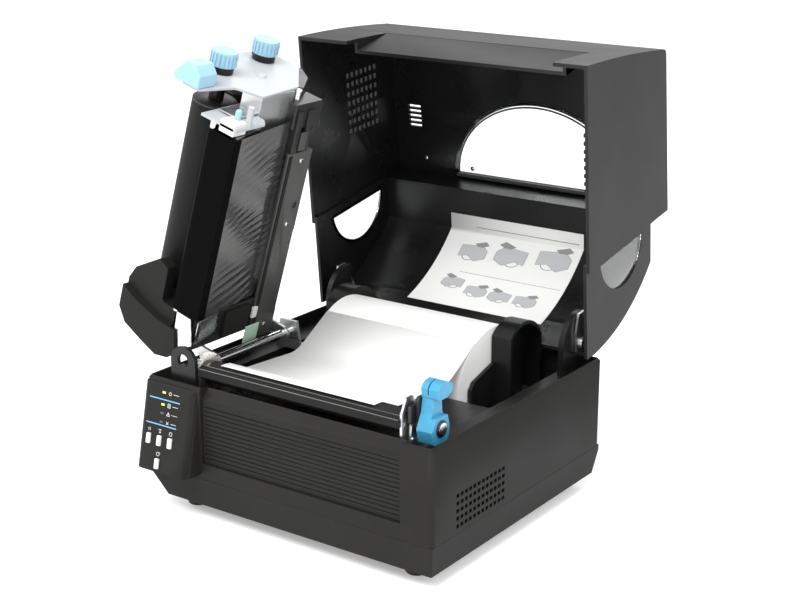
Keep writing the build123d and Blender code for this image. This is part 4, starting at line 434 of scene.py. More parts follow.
def finishes():
    """Every finish by its name: what makes it, its colour and further values."""
    shell = bpy.context.scene.printer_shell
    accent = bpy.context.scene.printer_accents
    case = tuple(shell.case_colour)
    return {
        "case_plastic": (moulded_finish, case, shell.grains, DEEP_GRAIN, 0.52, 0.22, 0.13),
        "cover_plastic": (moulded_finish, case, shell.grains, DEEP_GRAIN, 0.52, 0.22, 0.28),
        "inner_plastic": (gloss_finish, tuple(shell.inner_colour), 0.28, FLAT_WAVE, 0.3),
        "satin_black": (gloss_finish, (0.012, 0.012, 0.012), 0.36),
        "unit_black": (gloss_finish, (0.014, 0.0135, 0.013), 0.5, SLOW_WAVE, 0.12),
        "bar_grey": (gloss_finish, (0.05, 0.049, 0.048), 0.3),
        "end_steel": (gloss_finish, (0.43, 0.45, 0.465), 0.42, FLAT_WAVE, 0.35),
        "pale_green": (gloss_finish, (0.4, 0.55, 0.45), 0.4),
        "white_block": (moulded_finish, (0.72, 0.72, 0.7), 2400.0, FINE_GRAIN, 0.42, 0.1),
        # The ribbon film comes as two copies of one material. The next line's copy is painted shade: near-black
        # with almost no gloss, for the flat faces. The line after is a lighter grey copy, painted light with a
        # real gloss, for the wrinkled lower face.
        "film_black": (film_finish, (0.002, 0.002, 0.002), 0.5, 0.02),
        "film_sheen": (film_finish, (0.03, 0.029, 0.029), 0.17, 1.0),
        "steel_sheet": (steel_finish, (0.7, 0.71, 0.71), 0.34),
        "bright_steel": (steel_finish, (0.78, 0.78, 0.78), 0.18, 0.1),
        "dark_steel": (steel_finish, (0.3, 0.3, 0.3), 0.3),
        "bronze": (steel_finish, (0.45, 0.31, 0.16), 0.35),
        "motor_black": (gloss_finish, (0.02, 0.02, 0.022), 0.45),
        "rubber": (moulded_finish, (0.018, 0.018, 0.018), 2600.0, 0.00002, 0.75, 0.1),
        "platen_rubber": (moulded_finish, (0.016, 0.016, 0.016), 3000.0, 0.00001, 0.7, 0.05, 0.2),
        "paper": (paper_finish, (0.87, 0.87, 0.86)),
        "cardboard": (paper_finish, (0.42, 0.31, 0.2), 0.8),
        "clear_plastic": (clear_finish, (0.93, 0.95, 0.95)),
        "head_ceramic": (steel_finish, (0.4, 0.38, 0.36), 0.3),
        "ribbon": (film_finish, (0.010, 0.0097, 0.0094), 0.5, 0.12),
        "blue_plastic": (moulded_finish, tuple(accent.lever_blue), 2200.0, FINE_GRAIN, 0.36, 0.2),
        "pale_blue": (moulded_finish, tuple(accent.knob_blue), 2200.0, FINE_GRAIN, 0.4, 0.1),
        "gear_plastic": (moulded_finish, (0.7, 0.69, 0.64), 2500.0, FINE_GRAIN, 0.42, 0.1),
        "button_white": (moulded_finish, (0.75, 0.76, 0.75), 2400.0, FINE_GRAIN, 0.42, 0.1),
        "circuit_board": (gloss_finish, (0.02, 0.14, 0.06), 0.35),
        "zinc_sheet": (steel_finish, (0.6, 0.61, 0.62), 0.42),
        "lit_green": (lit_finish, tuple(accent.light_colour), 0.7),
        "unlit_lens": (gloss_finish, (0.08, 0.085, 0.075), 0.3),
        "panel_blue": (printed_finish, tuple(accent.stripe_colour)),
        "panel_white": (printed_finish, (0.72, 0.73, 0.72)),
        "sheet_grey": (printed_finish, (0.28, 0.28, 0.28)),
        "sheet_pale": (printed_finish, (0.52, 0.53, 0.54)),
    }


def finish(name):
    """A finish by name, made on first use. A material of the frame with that name is renamed."""
    known = bpy.data.materials.get(name)
    if known and known.get("printer"):
        return known
    if known:
        known.name = name + ".cad"
    maker, *values = finishes()[name]
    material = maker(name, *values)
    material["printer"] = 1
    return material


# Mesh helpers


def linked(name, data):
    """A new object in the scene."""
    holder = bpy.data.objects.new(name, data)
    bpy.context.scene.collection.objects.link(holder)
    return holder


def shade_smooth(mesh, angle):
    """Shades a mesh smooth, apart from its edges sharper than an angle."""
    for polygon in mesh.polygons:
        polygon.use_smooth = True
    mesh.set_sharp_from_angle(angle=angle)


def add_piece(name, mesh, look, body, replaces=(), smooth=None):
    """Puts a mesh into the scene as a piece that rides a body and stands for the nodes it replaces."""
    piece = linked(name, mesh)
    piece.data.materials.clear()
    piece.data.materials.append(finish(look))
    if smooth is not None:
        shade_smooth(mesh, math.radians(smooth))
    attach(piece, body)
    if replaces:
        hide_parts(*replaces)
    return piece


def cleaned(mesh, weld, flatten=False, turn=False):
    """Joins a mesh's near points and, where asked, merges its flat faces or turns its normals outwards."""
    shape = bmesh.new()
    shape.from_mesh(mesh)
    bmesh.ops.remove_doubles(shape, verts=shape.verts, dist=weld)
    if flatten:
        bmesh.ops.dissolve_limit(shape, angle_limit=FLAT_ANGLE, verts=shape.verts, edges=shape.edges)
    if turn:
        bmesh.ops.recalc_face_normals(shape, faces=shape.faces)
    shape.to_mesh(mesh)
    shape.free()
    return mesh


def plain_mesh(name, points, faces):
    """A mesh from points in the frame and faces."""
    mesh = bpy.data.meshes.new(name)
    mesh.from_pydata([tuple(point) for point in points], [], faces)
    return mesh


def grid_faces(rows, columns, first=0):
    """The faces of a grid whose points are numbered row by row from first."""
    wide = columns + 1
    corners = [first + row * wide + column for row in range(rows) for column in range(columns)]
    return [(corner, corner + 1, corner + wide + 1, corner + wide) for corner in corners]


def mesh_from(name, points, faces):
    """A mesh from points in the frame and faces, with its normals turned outwards."""
    return cleaned(plain_mesh(name, points, faces), POINT_WELD, turn=True)


def soften(piece, width, segments=2):
    """Rounds a piece's edges."""
    bevel = piece.modifiers.new("rounded edges", "BEVEL")
    bevel.width = width * MM
    bevel.segments = segments
    bevel.limit_method = "ANGLE"
    bevel.angle_limit = SHARP_ANGLE
    bevel.harden_normals = True
    bevel.miter_outer = "MITER_ARC"
    shade_smooth(piece.data, SHARP_ANGLE)
    return piece


def rounded_node(node, body, look, width, segments=2):
    """A node's own form with rounded edges, in its finish, standing for the node."""
    mesh = cleaned(NODES[node].data.copy(), NODE_WELD, flatten=True)
    return soften(add_piece(node + "_form", mesh, look, body, (node,)), width, segments)


def smooth_node(node, body, look, angle=40.0):
    """A node's own form with its curved faces shaded smooth, standing for the node."""
    mesh = cleaned(NODES[node].data.copy(), NODE_WELD)
    return add_piece(node + "_form", mesh, look, body, (node,), smooth=angle)


def dress(*pairs):
    """Gives each node that keeps its own form a finish."""
    for node, look in pairs:
        piece = NODES[node]
        for slot in piece.material_slots:
            slot.material = finish(look)
        if not piece.material_slots:
            piece.data.materials.append(finish(look))


def second_look(piece, look, chosen):
    """Gives the faces whose centre and normal are chosen another finish."""
    piece.data.materials.append(finish(look))
    for polygon in piece.data.polygons:
        polygon.material_index = 1 if chosen(polygon.center, polygon.normal) else 0


def between(table, value):
    """The second number of a rising table of pairs at a value of the first."""
    for (a, low), (b, high) in zip(table, table[1:]):
        if value <= b:
            return low + (high - low) * max(0.0, value - a) / (b - a)
    return table[-1][1]


def faces_inwards(centre, normal):
    """Whether a face of the cover looks into its room."""
    place = centre + normal * ROOM_PROBE * MM
    x = place.x / MM - CASE_X
    y = place.y / MM - CASE_Y - HINGE_Y
    z = place.z / MM - HINGE_Z
    dy = y * math.cos(COVER_OPEN) - z * math.sin(COVER_OPEN)
    dz = y * math.sin(COVER_OPEN) + z * math.cos(COVER_OPEN)
    f = COVER_BACK - HINGE_Y - dy
    h = dz + HINGE_Z - COVER_Z
    inside = ROOM_X[0] < x < ROOM_X[1] and ROOM_FLOOR < h < ROOM_ROOF[f > ROOF_STEP]
    return inside and between(ROOM_REAR, h) < f < between(ROOM_FRONT, h)


def extrusion(name, outline, place_near, place_far, look, body, width=0.0, segments=2):
    """A prism between two copies of an outline, each placed by its own function of the outline's two numbers."""
    near = [place_near(a, b) for a, b in outline]
    far = [place_far(a, b) for a, b in outline]
    count = len(outline)
    faces = [tuple(range(count)), tuple(range(2 * count - 1, count - 1, -1))]
    for number in range(count):
        after = (number + 1) % count
        faces.append((number, after, after + count, number + count))
    piece = add_piece(name, mesh_from(name, near + far, faces), look, body)
    if width:
        soften(piece, width, segments)


def ends(place, low, high):
    """place() at two values of its third number, as functions of the other two."""
    return lambda a, b: place(a, b, low), lambda a, b: place(a, b, high)


def box(name, low, high, place, look, body, width):
    """A box between two corners, each of three numbers that place() turns into a place in the frame."""
    outline = ((low[0], low[1]), (high[0], low[1]), (high[0], high[1]), (low[0], high[1]))
    extrusion(name, outline, *ends(place, low[2], high[2]), look, body, width)


def ink(name, lines, width, place, look, body):
    """Printed lines of one width. place() puts their flat points on the surface, in short steps."""
    points = []
    faces = []
    for line in lines:
        for (ax, ay), (bx, by) in zip(line, line[1:]):
            length = math.hypot(bx - ax, by - ay)
            count = max(1, math.ceil(length / 5.0))
            side_x = (by - ay) / length * width / 2
            side_y = (ax - bx) / length * width / 2
            first = len(points)
            for step in range(count + 1):
                x = ax + (bx - ax) * step / count
                y = ay + (by - ay) * step / count
                points.append(place(x + side_x, y + side_y))
                points.append(place(x - side_x, y - side_y))
            faces += grid_faces(count, 1, first)
    return add_piece(name, plain_mesh(name, points, faces), look, body)


def patches(name, outlines, place, look, body):
    """Printed filled shapes."""
    points = []
    faces = []
    for outline in outlines:
        faces.append(tuple(range(len(points), len(points) + len(outline))))
        points.extend(place(x, y) for x, y in outline)
    return add_piece(name, plain_mesh(name, points, faces), look, body)


def ring_points(x, y, radius, start, stop, steps=16):
    """Points of an arc."""
    angles = [math.radians(start + (stop - start) * step / steps) for step in range(steps + 1)]
    return [(x + radius * math.cos(angle), y + radius * math.sin(angle)) for angle in angles]


def closed(outline):
    """An outline with its first point again at the end."""
    return (*outline, outline[0])


def shifted(lines, x, y, across=1.0, along=1.0):
    """Lines moved and scaled."""
    return [[(x + a * across, y + b * along) for a, b in line] for line in lines]


def square_axes(axis):
    """Unit vectors along an axis and along two directions across it."""
    axis = Vector(axis).normalized()
    side = axis.orthogonal().normalized()
    return axis, side, axis.cross(side)


def turned(name, profile, centre, axis, look, body, steps=32):
    """A turned form: profile is (distance along axis, radius) in millimetres from its centre's place."""
    axis, side, other = square_axes(axis)
    points = []
    faces = []
    for along, radius in profile:
        for step in range(steps):
            angle = 2 * math.pi * step / steps
            out = side * math.cos(angle) + other * math.sin(angle)
            points.append(centre + (axis * along + out * radius) * MM)
    for ring in range(len(profile) - 1):
        for step in range(steps):
            after = (step + 1) % steps
            faces.append((ring * steps + step, ring * steps + after,
                          (ring + 1) * steps + after, (ring + 1) * steps + step))
    faces.append(tuple(range(steps)))
    last = (len(profile) - 1) * steps
    faces.append(tuple(range(last + steps - 1, last - 1, -1)))
    add_piece(name, mesh_from(name, points, faces), look, body, smooth=40)


def screw(name, centre, axis, body, radius):
    """A domed cross-head screw that sits on a face."""
    profile = [(SCREW_SUNK, radius * 0.8)] + [(radius * a, radius * b) for a, b in SCREW_DOME]
    turned(name, profile, centre, axis, "bright_steel", body, 20)
    axis, side, across = square_axes(axis)
    faces = []
    points = []
    for one, two in ((side, across), (across, side)):
        start = len(points)
        for a, b in SQUARE:
            arm = one * a * radius * 0.55 + two * b * radius * 0.12 + axis * radius * 0.6
            points.append(centre + arm * MM)
        faces.append(tuple(range(start, start + 4)))
    slot = add_piece(name + "_slot", mesh_from(name + "_slot", points, faces), "inner_plastic", body)
    slot.modifiers.new("thickness", "SOLIDIFY").thickness = 0.2 * MM


def screws(name, places, place, axis, body, radius):
    """Numbered screws at places that place() turns into places in the frame."""
    for number, spot in enumerate(places):
        screw(name + "_" + str(number), place(*spot), axis, body, radius)


def wire(name, points, radius, look, body):
    """A round bar or wire through points in the frame."""
    curve = bpy.data.curves.new(name, "CURVE")
    curve.dimensions = "3D"
    curve.bevel_depth = radius * MM
    curve.bevel_resolution = 3
    curve.use_fill_caps = True
    spline = curve.splines.new("POLY")
    spline.points.add(len(points) - 1)
    for target, point in zip(spline.points, points):
        target.co = (*point, 1.0)
    piece = linked(name, curve)
    curve.materials.append(finish(look))
    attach(piece, body)


def spring(name, start, end, radius, thickness, turns, look, body):
    """A coil spring between two places."""
    length = (end - start).length
    axis, side, other = square_axes(end - start)
    points = []
    steps = turns * 14
    for step in range(steps + 1):
        angle = 2 * math.pi * turns * step / steps
        out = side * math.cos(angle) + other * math.sin(angle)
        points.append(start + axis * length * step / steps + out * radius * MM)
    wire(name, points, thickness, look, body)


def film_ridge(u, along):
    """How high the film's slanting ridges stand, 0 to 1, at a place across it and a share of its length."""
    slant = u * 0.14 - along * 2.6 + 0.35 * math.sin(u * 0.06) + 0.2 * math.sin(along * 5.0 - u * 0.03)
    ridge = max(0.0, math.sin(2 * math.pi * slant)) ** 2
    ridge *= (0.5 + 0.5 * math.sin(u * 0.11 + along * 4.0)) * (0.4 + 0.6 * along)
    return ridge * math.sin(math.pi * along) ** 0.6


def band(name, path, look, height=0.0):
    """The ribbon film along a path of y and w, with tension ridges of a height on its lower side."""
    rows = []
    for (y0, w0), (y1, w1) in zip(path, path[1:]):
        count = max(1, math.ceil(math.hypot(y1 - y0, w1 - w0) / FILM_STEP))
        rows += [(y0 + (y1 - y0) * step / count, w0 + (w1 - w0) * step / count) for step in range(count)]
    rows.append(path[-1])
    columns = 120 if height else 30
    points = []
    for number, (y, w) in enumerate(rows):
        for column in range(columns + 1):
            u = FILM_U[0] + (FILM_U[1] - FILM_U[0]) * column / columns
            drop = height * film_ridge(u, number / (len(rows) - 1)) if height else 0.0
            points.append(unit_point(u, y, w - drop))
    mesh = mesh_from(name, points, grid_faces(len(rows) - 1, columns))
    return add_piece(name, mesh, look, "print_unit", smooth=60)


# Settings


def colour_setting(name, description, default):
    """A colour in the sidebar."""
    return bpy.props.FloatVectorProperty(
        name=name, description=description, subtype="COLOR", size=3, default=default, min=0.0, max=1.0)


class PrinterShellSettings(bpy.types.PropertyGroup):
    """The moulded shells' looks."""

    case_colour: colour_setting("Case colour", "Colour of the outer shells", (0.0165, 0.0158, 0.0152))
    inner_colour: colour_setting("Inner colour", "Colour of the glossy inner mouldings", (0.008, 0.008, 0.0085))
    grains: bpy.props.FloatProperty(
        name="Grains per metre", description="How fine the case's moulded grain is", default=1500.0, min=100.0)
    edge: bpy.props.FloatProperty(
        name="Edge radius", description="Rounding of the outer shells' edges in millimetres", default=0.7,
        min=0.05)


class PrinterAccentSettings(bpy.types.PropertyGroup):
    """The coloured parts' looks."""

    lever_blue: colour_setting("Lever blue", "Colour of the head-lock lever", (0.05, 0.3, 0.5))
    knob_blue: colour_setting("Knob blue", "Colour of the ribbon knobs and the grip", (0.31, 0.53, 0.67))
    stripe_colour: colour_setting("Stripe colour", "Colour of the panel's two lines", (0.16, 0.46, 0.68))
    light_colour: colour_setting("Light colour", "Colour of the lit status lights", (0.45, 0.95, 0.18))


class PrinterStageSettings(bpy.types.PropertyGroup):
    """The floor, the lamps and the camera."""

    floor_colour: colour_setting("Floor colour", "Colour of the pale floor", (0.86, 0.86, 0.86))
    key_power: bpy.props.FloatProperty(
        name="Key power", description="Power of the big soft lamp", default=54.0, min=0.0, unit="POWER")
    fill_power: bpy.props.FloatProperty(
        name="Fill power", description="Power of each of the other soft lamps", default=19.0, min=0.0,
        unit="POWER")
    lens: bpy.props.FloatProperty(
        name="Lens", description="Camera lens in millimetres", default=72.9, min=10.0)


class PRINTER_OT_case(bpy.types.Operator):
    """Lower tray, upper case, front door, inner chassis and feet"""

    bl_idname = "printer.case"
    bl_label = "Case"

    def execute(self, context):
        rounded_node("lower_tray", "base", "case_plastic", context.scene.printer_shell.edge)
        smooth_node("upper_case", "base", "case_plastic", 30)
        smooth_node("front_door", "base", "case_plastic", 25)
        rounded_node("inner_chassis", "base", "inner_plastic", 0.9, 3)
        rounded_node("rubber_feet", "base", "rubber", 0.5)
        return {"FINISHED"}


class PRINTER_OT_panel(bpy.types.Operator):
    """Control panel with its lights, printed marks and buttons"""

    bl_idname = "printer.panel"
    bl_label = "Control panel"

    def execute(self, context):
        smooth_node("control_panel", "base", "case_plastic", 30)
        lights = smooth_node("status_lights", "base", "unlit_lens", 30)
        lit_from = panel_point(0.0, LIT_FROM).z
        second_look(lights, "lit_green", lambda centre, normal: centre.z > lit_from)
        for name in ("pause", "feed", "stop", "mode"):
            rounded_node(name + "_button", name, "button_white", 0.25)

        def on_face(x, t):
            return panel_point(x, t, PANEL_INK_OUT)

        ink("panel_stripes", PANEL_STRIPES, 0.9, on_face, "panel_blue", "base")
        power = [ring_points(0.0, 0.0, 1.3, 120, 420), [(0.0, 0.4), (0.0, 1.8)]]
        page = shifted([closed(SQUARE)], 0, 0, 1.3, 1.5)
        page += [[(-0.6, 0.4), (0.6, 0.4)], [(-0.6, -0.5), (0.6, -0.5)]]
        warn = [closed(((-1.7, -1.2), (0.0, 1.6), (1.7, -1.2))), [(0.0, 0.7), (0.0, -0.5)]]
        cross = [[(-1.2, -1.2), (1.2, 1.2)], [(-1.2, 1.2), (1.2, -1.2)]]
        pause = [[(-0.8, -1.3), (-0.8, 1.3)], [(0.8, -1.3), (0.8, 1.3)]]
        feed = [[(-1.6, 1.4), (1.6, 1.4)], [(0.0, 1.0), (0.0, -1.5)],
                [(-1.0, -0.5), (0.0, -1.5), (1.0, -0.5)]]
        stop = shifted([closed(SQUARE)], 0, 0, 1.3, 1.3)
        turn = [ring_points(0.0, 0.0, 1.5, 60, 380), [(1.0, 1.6), (1.5, 0.5), (2.3, 1.3)]]
        marks = []
        for mark, row in zip((power, page, warn, cross), LIGHT_ROWS):
            marks += shifted(mark, LIGHT_MARK_X, row)
        for mark, x in zip((pause, feed, stop), BUTTON_MARK_X):
            marks += shifted(mark, x, BUTTON_MARK_ROW)
        marks += shifted(turn, BUTTON_MARK_X[1], MODE_MARK_ROW)
        ink("panel_marks", marks, 0.42, on_face, "panel_white", "base")
        ticks = [[(x, row) for x in TICK_X] for row in LIGHT_ROWS]
        ink("panel_ticks", ticks, 0.35, on_face, "panel_white", "base")
        return {"FINISHED"}


class PRINTER_OT_media(bpy.types.Operator):
    """Label roll, web and media guides"""

    bl_idname = "printer.media"
    bl_label = "Media"

    def execute(self, context):
        smooth_node("label_roll", "media_roll", "paper")
        smooth_node("label_web", "base", "paper", 60)
        for side in ("right", "left"):
            rounded_node(side + "_media_guide", "guide_" + side, "inner_plastic", 0.8, 3)
        dress(("roll_core", "cardboard"), ("guide_pinion", "gear_plastic"), ("guide_rail", "inner_plastic"))
        return {"FINISHED"}


class PRINTER_OT_platen(bpy.types.Operator):
    """Platen, side plates, tear bar and drive"""

    bl_idname = "printer.platen"
    bl_label = "Platen and drive"

    def execute(self, context):
        dress(("frame_plates", "steel_sheet"), ("fixed_pins", "bright_steel"), ("platen_bushes", "bronze"),
              ("platen_roller", "platen_rubber"), ("platen_shaft", "bright_steel"),
              ("platen_gear", "gear_plastic"), ("idler_gear", "gear_plastic"),
              ("motor_pinion", "bright_steel"), ("drive_motor", "motor_black"))
        rounded_node("tear_bar", "base", "unit_black", 0.15)
        for number, (y, z) in enumerate(TEAR_LINES):
            wire("tear_line_" + str(number), [case_point(x, y, z) for x in TEAR_LINE_X], 0.28, "dark_steel",
                 "base")
        return {"FINISHED"}


class PRINTER_OT_lever(bpy.types.Operator):
    """Head-lock lever with its hook"""

    bl_idname = "printer.lever"
    bl_label = "Head-lock lever"

    def execute(self, context):
        rounded_node("head_lock_lever", "head_lock", "blue_plastic", 0.8, 3)
        dress(("lock_hook", "satin_black"))
        turned("lever_ring", ((-0.6, 6.6), (0.5, 6.6), (0.5, 5.2), (-0.6, 5.2)), case_point(127.3, -95.0, 117.0),
               (1, 0, 0), "satin_black", "base")
        box("latch_block", (105.5, -108, 120), (109, -93, 134), case_point, "satin_black", "base", 1.2)
        screw("plate_screw", case_point(108.7, -104.5, 107.5), (1, 0, 0), "base", 2.2)
        return {"FINISHED"}


class PRINTER_OT_cover(bpy.types.Operator):
    """Cover shells, windows and what is moulded on them"""

    bl_idname = "printer.cover"
    bl_label = "Cover"

    def execute(self, context):
        edge = context.scene.printer_shell.edge
        for node in ("cover_hood", "cover_rear_shell"):
            second_look(rounded_node(node, "cover", "cover_plastic", edge), "inner_plastic", faces_inwards)
        rounded_node("cover_windows", "cover", "clear_plastic", 0.3)
        box("window_ledge", (-74, 83.5, 131.5), (99, 87, 135), cover_point, "bar_grey", "cover", 0.5)
        rim = [(WINDOW_MIDDLE[0] + WINDOW_RIM[0] * math.cos(math.radians(a)),
                WINDOW_MIDDLE[1] + WINDOW_RIM[1] * math.sin(math.radians(a))) for a in range(0, 181, 5)]
        wire("window_rim", [cover_point(x, f, RIM_H - ROOF_FALL * (f - RIM_FROM)) for x, f in rim], 0.9,
             "bar_grey", "cover")
        back = cover_point(0, 0, 0) - cover_point(0, 0, 1)
        screws("cover_screw", COVER_SCREWS, cover_point, back, "cover", 2.3)
        for number in range(TEETH):
            f = TOOTH_F + number * TOOTH_PITCH
            box("latch_tooth_" + str(number), (TOOTH_X[0], f, TOOTH_H[0]), (TOOTH_X[1], f + TOOTH_L, TOOTH_H[1]),
                cover_point, "cover_plastic", "cover", 0.3)
        dress(("cover_hinges", "steel_sheet"), ("hinge_cheeks", "inner_plastic"))
        return {"FINISHED"}


class PRINTER_OT_sheet(bpy.types.Operator):
    """Instruction sheet inside the cover"""

    bl_idname = "printer.sheet"
    bl_label = "Instruction sheet"

    def execute(self, context):
        sheet = smooth_node("instruction_sheet", "cover", "paper", 40).data
        surface = BVHTree.FromPolygons([vertex.co for vertex in sheet.vertices],
                                       [polygon.vertices for polygon in sheet.polygons])
        inwards = (cover_point(0, 0.8, -0.6) - cover_point(0, 0, 0)).normalized()

        def on_sheet(x, down):
            """x across the sheet and down its length, both 0 to 100, from its upper left corner."""
            chord = cover_point(SHEET_CORNER[0] + SHEET_PART[0] * x, SHEET_CORNER[1] - SHEET_PART[1] * down,
                                SHEET_CORNER[2] - SHEET_PART[2] * down)
            place = surface.ray_cast(chord + inwards * 0.05, -inwards)[0] or chord
            return place + inwards * SHEET_INK_OUT * MM

        ink("sheet_rules", SHEET_RULES, 0.45, on_sheet, "sheet_grey", "cover")
        roll = ring_points(-2, 4, 4.2, 0, 330, 9)
        pale = []
        dark = []
        lines = []
        for number, (x, down, size) in enumerate(PRINTER_SPOTS):
            place = (x, down, -size if number % 2 else size, size)
            pale += shifted([PRINTER_OUTLINE], *place)
            dark += shifted([PRINTER_FLAP], *place)
            lines += shifted([closed(PRINTER_OUTLINE), roll, PRINTER_FOLD], *place)
        patches("sheet_shades", pale, on_sheet, "sheet_pale", "cover")
        ink("sheet_lines", lines, 0.7, on_sheet, "sheet_grey", "cover")
        patches("sheet_darks", dark, lambda x, down: on_sheet(x, down) + inwards * 0.05 * MM, "sheet_grey",
                "cover")
        return {"FINISHED"}


class PRINTER_OT_unit(bpy.types.Operator):
    """Print unit: frame, housing, end plate, head and sensor bar"""

    bl_idname = "printer.unit"
    bl_label = "Print unit"

    def execute(self, context):
        for node, look, width, segments in (
                ("unit_frame", "steel_sheet", 0.3, 2), ("unit_end_plate", "end_steel", 0.4, 2),
                ("unit_housing", "unit_black", 1.2, 3), ("sensor_bar", "bar_grey", 0.5, 2),
                ("grip_wedge", "pale_blue", 0.8, 3)):
            rounded_node(node, "print_unit", look, width, segments)
        rounded_node("front_bracket", "base", "inner_plastic", 0.6, 3)
        dress(("head_arm", "end_steel"), ("print_head", "head_ceramic"), ("film_guide_rod", "bright_steel"),
              ("unit_shaft", "bright_steel"))

        def facing(y, w, u):
            return unit_point(u, y, w)

        def sideways(u, w, y):
            return unit_point(u, y, w)

        extrusion("end_cowl", END_COWL, *ends(facing, *END_COWL_U), "satin_black", "print_unit", 1.5, 3)
        extrusion("head_strip", HEAD_STRIP, *ends(facing, *HEAD_STRIP_U), "bright_steel", "print_unit")
        for name, low, high, look, width in UNIT_BOXES:
            box(name, low, high, unit_point, look, "print_unit", width)
        extrusion("side_steel", SIDE_STEEL, *ends(sideways, *SIDE_STEEL_Y), "bright_steel", "print_unit", 0.3)
        out = unit_point(1, 0, 0) - unit_point(0, 0, 0)
        down = unit_point(0, 0, 0) - unit_point(0, 0, 1)
        screws("end_screw", END_SCREWS, unit_point, out, "print_unit", 2.4)
        screws("bar_screw", BAR_SCREWS, unit_point, down, "print_unit", 2.2)
        turned("head_cap", ((0, 2.6), (7, 2.6), (8, 1.8)), unit_point(208, -88, 20), out, "pale_blue",
               "print_unit")
        spring("head_spring", unit_point(190, -54, 24), unit_point(190, -54, 41), 3.2, 0.5, 6, "bright_steel",
               "print_unit")
        return {"FINISHED"}


class PRINTER_OT_ribbon(bpy.types.Operator):
    """Ribbon film, rolls, cores, spindles and knobs"""

    bl_idname = "printer.ribbon"
    bl_label = "Ribbon"

    def execute(self, context):
        # The film's flat faces take the copy painted in shade, and its wrinkled lower face takes the lighter
        # copy painted light.
        film = band("film_flat", FILM_FRONT, "film_black")
        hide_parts("ribbon_film")
        band("film_corner", FILM_FRONT[-1:] + FILM_UNDER[:1], "film_black")
        band("film_wrinkled", FILM_UNDER, "film_sheen", FILM_RIDGE)
        band("film_rear", FILM_BACK, "film_black")
        out = unit_point(1, 0, 0) - unit_point(0, 0, 0)
        for name, y, w, radius in ROLLS:
            smooth_node(name + "_roll", name + "_spool", "ribbon")
            dress((name + "_core", "cardboard"), (name + "_spindle", "inner_plastic"))
            rounded_node(name + "_knob", name + "_spool", "pale_blue", 0.3)
            disc = ((0, 8), (0, radius), (1.6, radius), (3.0, radius - 2), (3.0, 8))
            turned(name + "_flange", disc, unit_point(FLANGE_U, y, w), out, "satin_black", name + "_spool", 48)
        return {"FINISHED"}


class PRINTER_OT_rear(bpy.types.Operator):
    """Rear sockets, switch and electronics"""

    bl_idname = "printer.rear"
    bl_label = "Rear and electronics"

    def execute(self, context):
        for node, body in (("power_entry", "base"), ("interface_ports", "base"), ("power_switch", "switch")):
            rounded_node(node, body, "inner_plastic", 0.3)
        dress(("power_supply", "zinc_sheet"), ("circuit_boards", "circuit_board"))
        return {"FINISHED"}


def area_lamp(name, place, target, size, power):
    """A square soft lamp that looks at a target."""
    lamp = bpy.data.lights.new(name, "AREA")
    lamp.size = size
    lamp.energy = power
    holder = linked(name, lamp)
    holder.location = place
    holder.rotation_euler = (Vector(target) - Vector(place)).to_track_quat("-Z", "Y").to_euler()


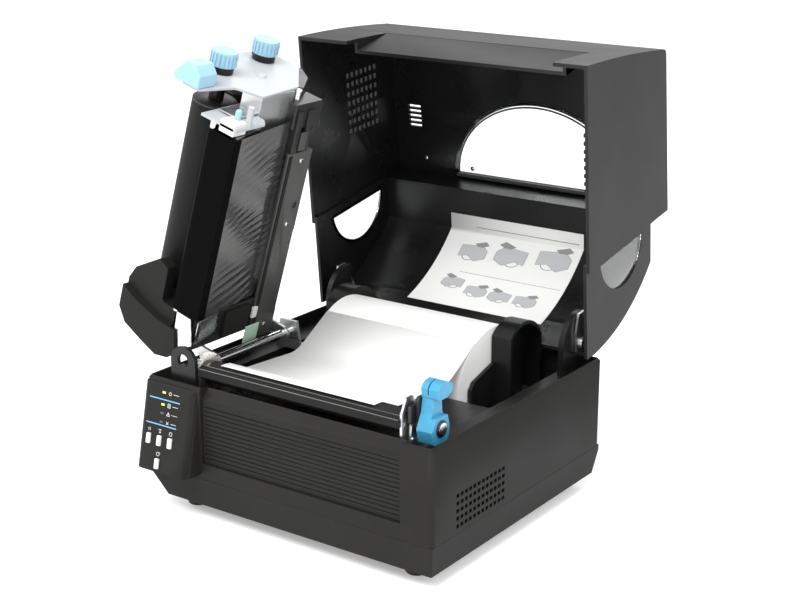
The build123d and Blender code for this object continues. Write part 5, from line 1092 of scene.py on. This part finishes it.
class PRINTER_OT_stage(bpy.types.Operator):
    """Pale floor, soft lamps, white surroundings and the camera"""

    bl_idname = "printer.stage"
    bl_label = "Stage"

    def execute(self, context):
        stage = context.scene.printer_stage
        corners = [(x * FLOOR_REACH, y * FLOOR_REACH, 0) for x, y in SQUARE]
        floor = linked("floor", mesh_from("floor", corners, [(0, 1, 2, 3)]))
        material, tree, surface = new_material("floor_paper", level=0.2)
        colour_by(tree, surface, noise(tree, 3.0), tuple(stage.floor_colour), 0.995, 1.0)
        path = shader_node(tree, "ShaderNodeLightPath").outputs
        seen = worked(tree, "MAXIMUM", path["Is Camera Ray"], path["Is Glossy Ray"])
        seen = worked(tree, "MAXIMUM", seen, path["Is Transmission Ray"])
        fill(tree, surface, {"Roughness": 0.8, "Emission Color": WHITE,
                             "Emission Strength": worked(tree, "MULTIPLY", seen, FLOOR_LIFT)})
        floor.data.materials.append(material)

        world = bpy.data.worlds.new("studio")
        context.scene.world = world
        world.use_nodes = True
        sky = world.node_tree
        path = shader_node(sky, "ShaderNodeLightPath").outputs
        seen = worked(sky, "MAXIMUM", path["Is Camera Ray"], path["Is Transmission Ray"])
        strength = number_between(sky, seen, WORLD_LEVEL, 1.0)
        fill(sky, sky.nodes["Background"], {"Color": WHITE, "Strength": strength})

        for name, place, target, size, power in LAMPS:
            area_lamp(name, place, target, size, getattr(stage, power))

        camera = bpy.data.cameras.new("camera")
        camera.lens = stage.lens
        camera.sensor_width = 36.0
        camera.clip_end = 50.0
        holder = linked("camera", camera)
        right = Vector(CAMERA_RIGHT).normalized()
        back = Vector(CAMERA_BACK).normalized()
        turn = Matrix((right, back.cross(right), back)).transposed().to_4x4()
        holder.matrix_world = Matrix.Translation(Vector(CAMERA_PLACE)) @ turn
        context.scene.camera = holder
        context.scene.view_settings.view_transform = "Standard"
        return {"FINISHED"}


STEPS = (
    PRINTER_OT_case, PRINTER_OT_panel, PRINTER_OT_media, PRINTER_OT_platen, PRINTER_OT_lever, PRINTER_OT_cover,
    PRINTER_OT_sheet, PRINTER_OT_unit, PRINTER_OT_ribbon, PRINTER_OT_rear, PRINTER_OT_stage,
)


class PRINTER_PT_sidebar(bpy.types.Panel):
    """Lists the printer's settings and steps"""

    bl_idname = "PRINTER_PT_sidebar"
    bl_label = "Label Printer"
    bl_space_type = "VIEW_3D"
    bl_region_type = "UI"
    bl_category = "Label Printer"

    def draw(self, context):
        for group in (context.scene.printer_shell, context.scene.printer_accents, context.scene.printer_stage):
            section = self.layout.box()
            for name in group.__annotations__:
                section.prop(group, name)
        for step in STEPS:
            self.layout.operator(step.bl_idname)


SETTINGS = (
    ("printer_shell", PrinterShellSettings),
    ("printer_accents", PrinterAccentSettings),
    ("printer_stage", PrinterStageSettings),
)


def register():
    """Makes the settings, steps and panel known."""
    for name, group in SETTINGS:
        bpy.utils.register_class(group)
        setattr(bpy.types.Scene, name, bpy.props.PointerProperty(type=group))
    for step in STEPS:
        bpy.utils.register_class(step)
    bpy.utils.register_class(PRINTER_PT_sidebar)


def unregister():
    """Takes them away again."""
    bpy.utils.unregister_class(PRINTER_PT_sidebar)
    for step in reversed(STEPS):
        bpy.utils.unregister_class(step)
    for name, group in reversed(SETTINGS):
        delattr(bpy.types.Scene, name)
        bpy.utils.unregister_class(group)


def main():
    """Builds every piece in order."""
    register()
    for step in STEPS:
        family, name = step.bl_idname.split(".")
        getattr(getattr(bpy.ops, family), name)()


if __name__ == "__main__":
    main()
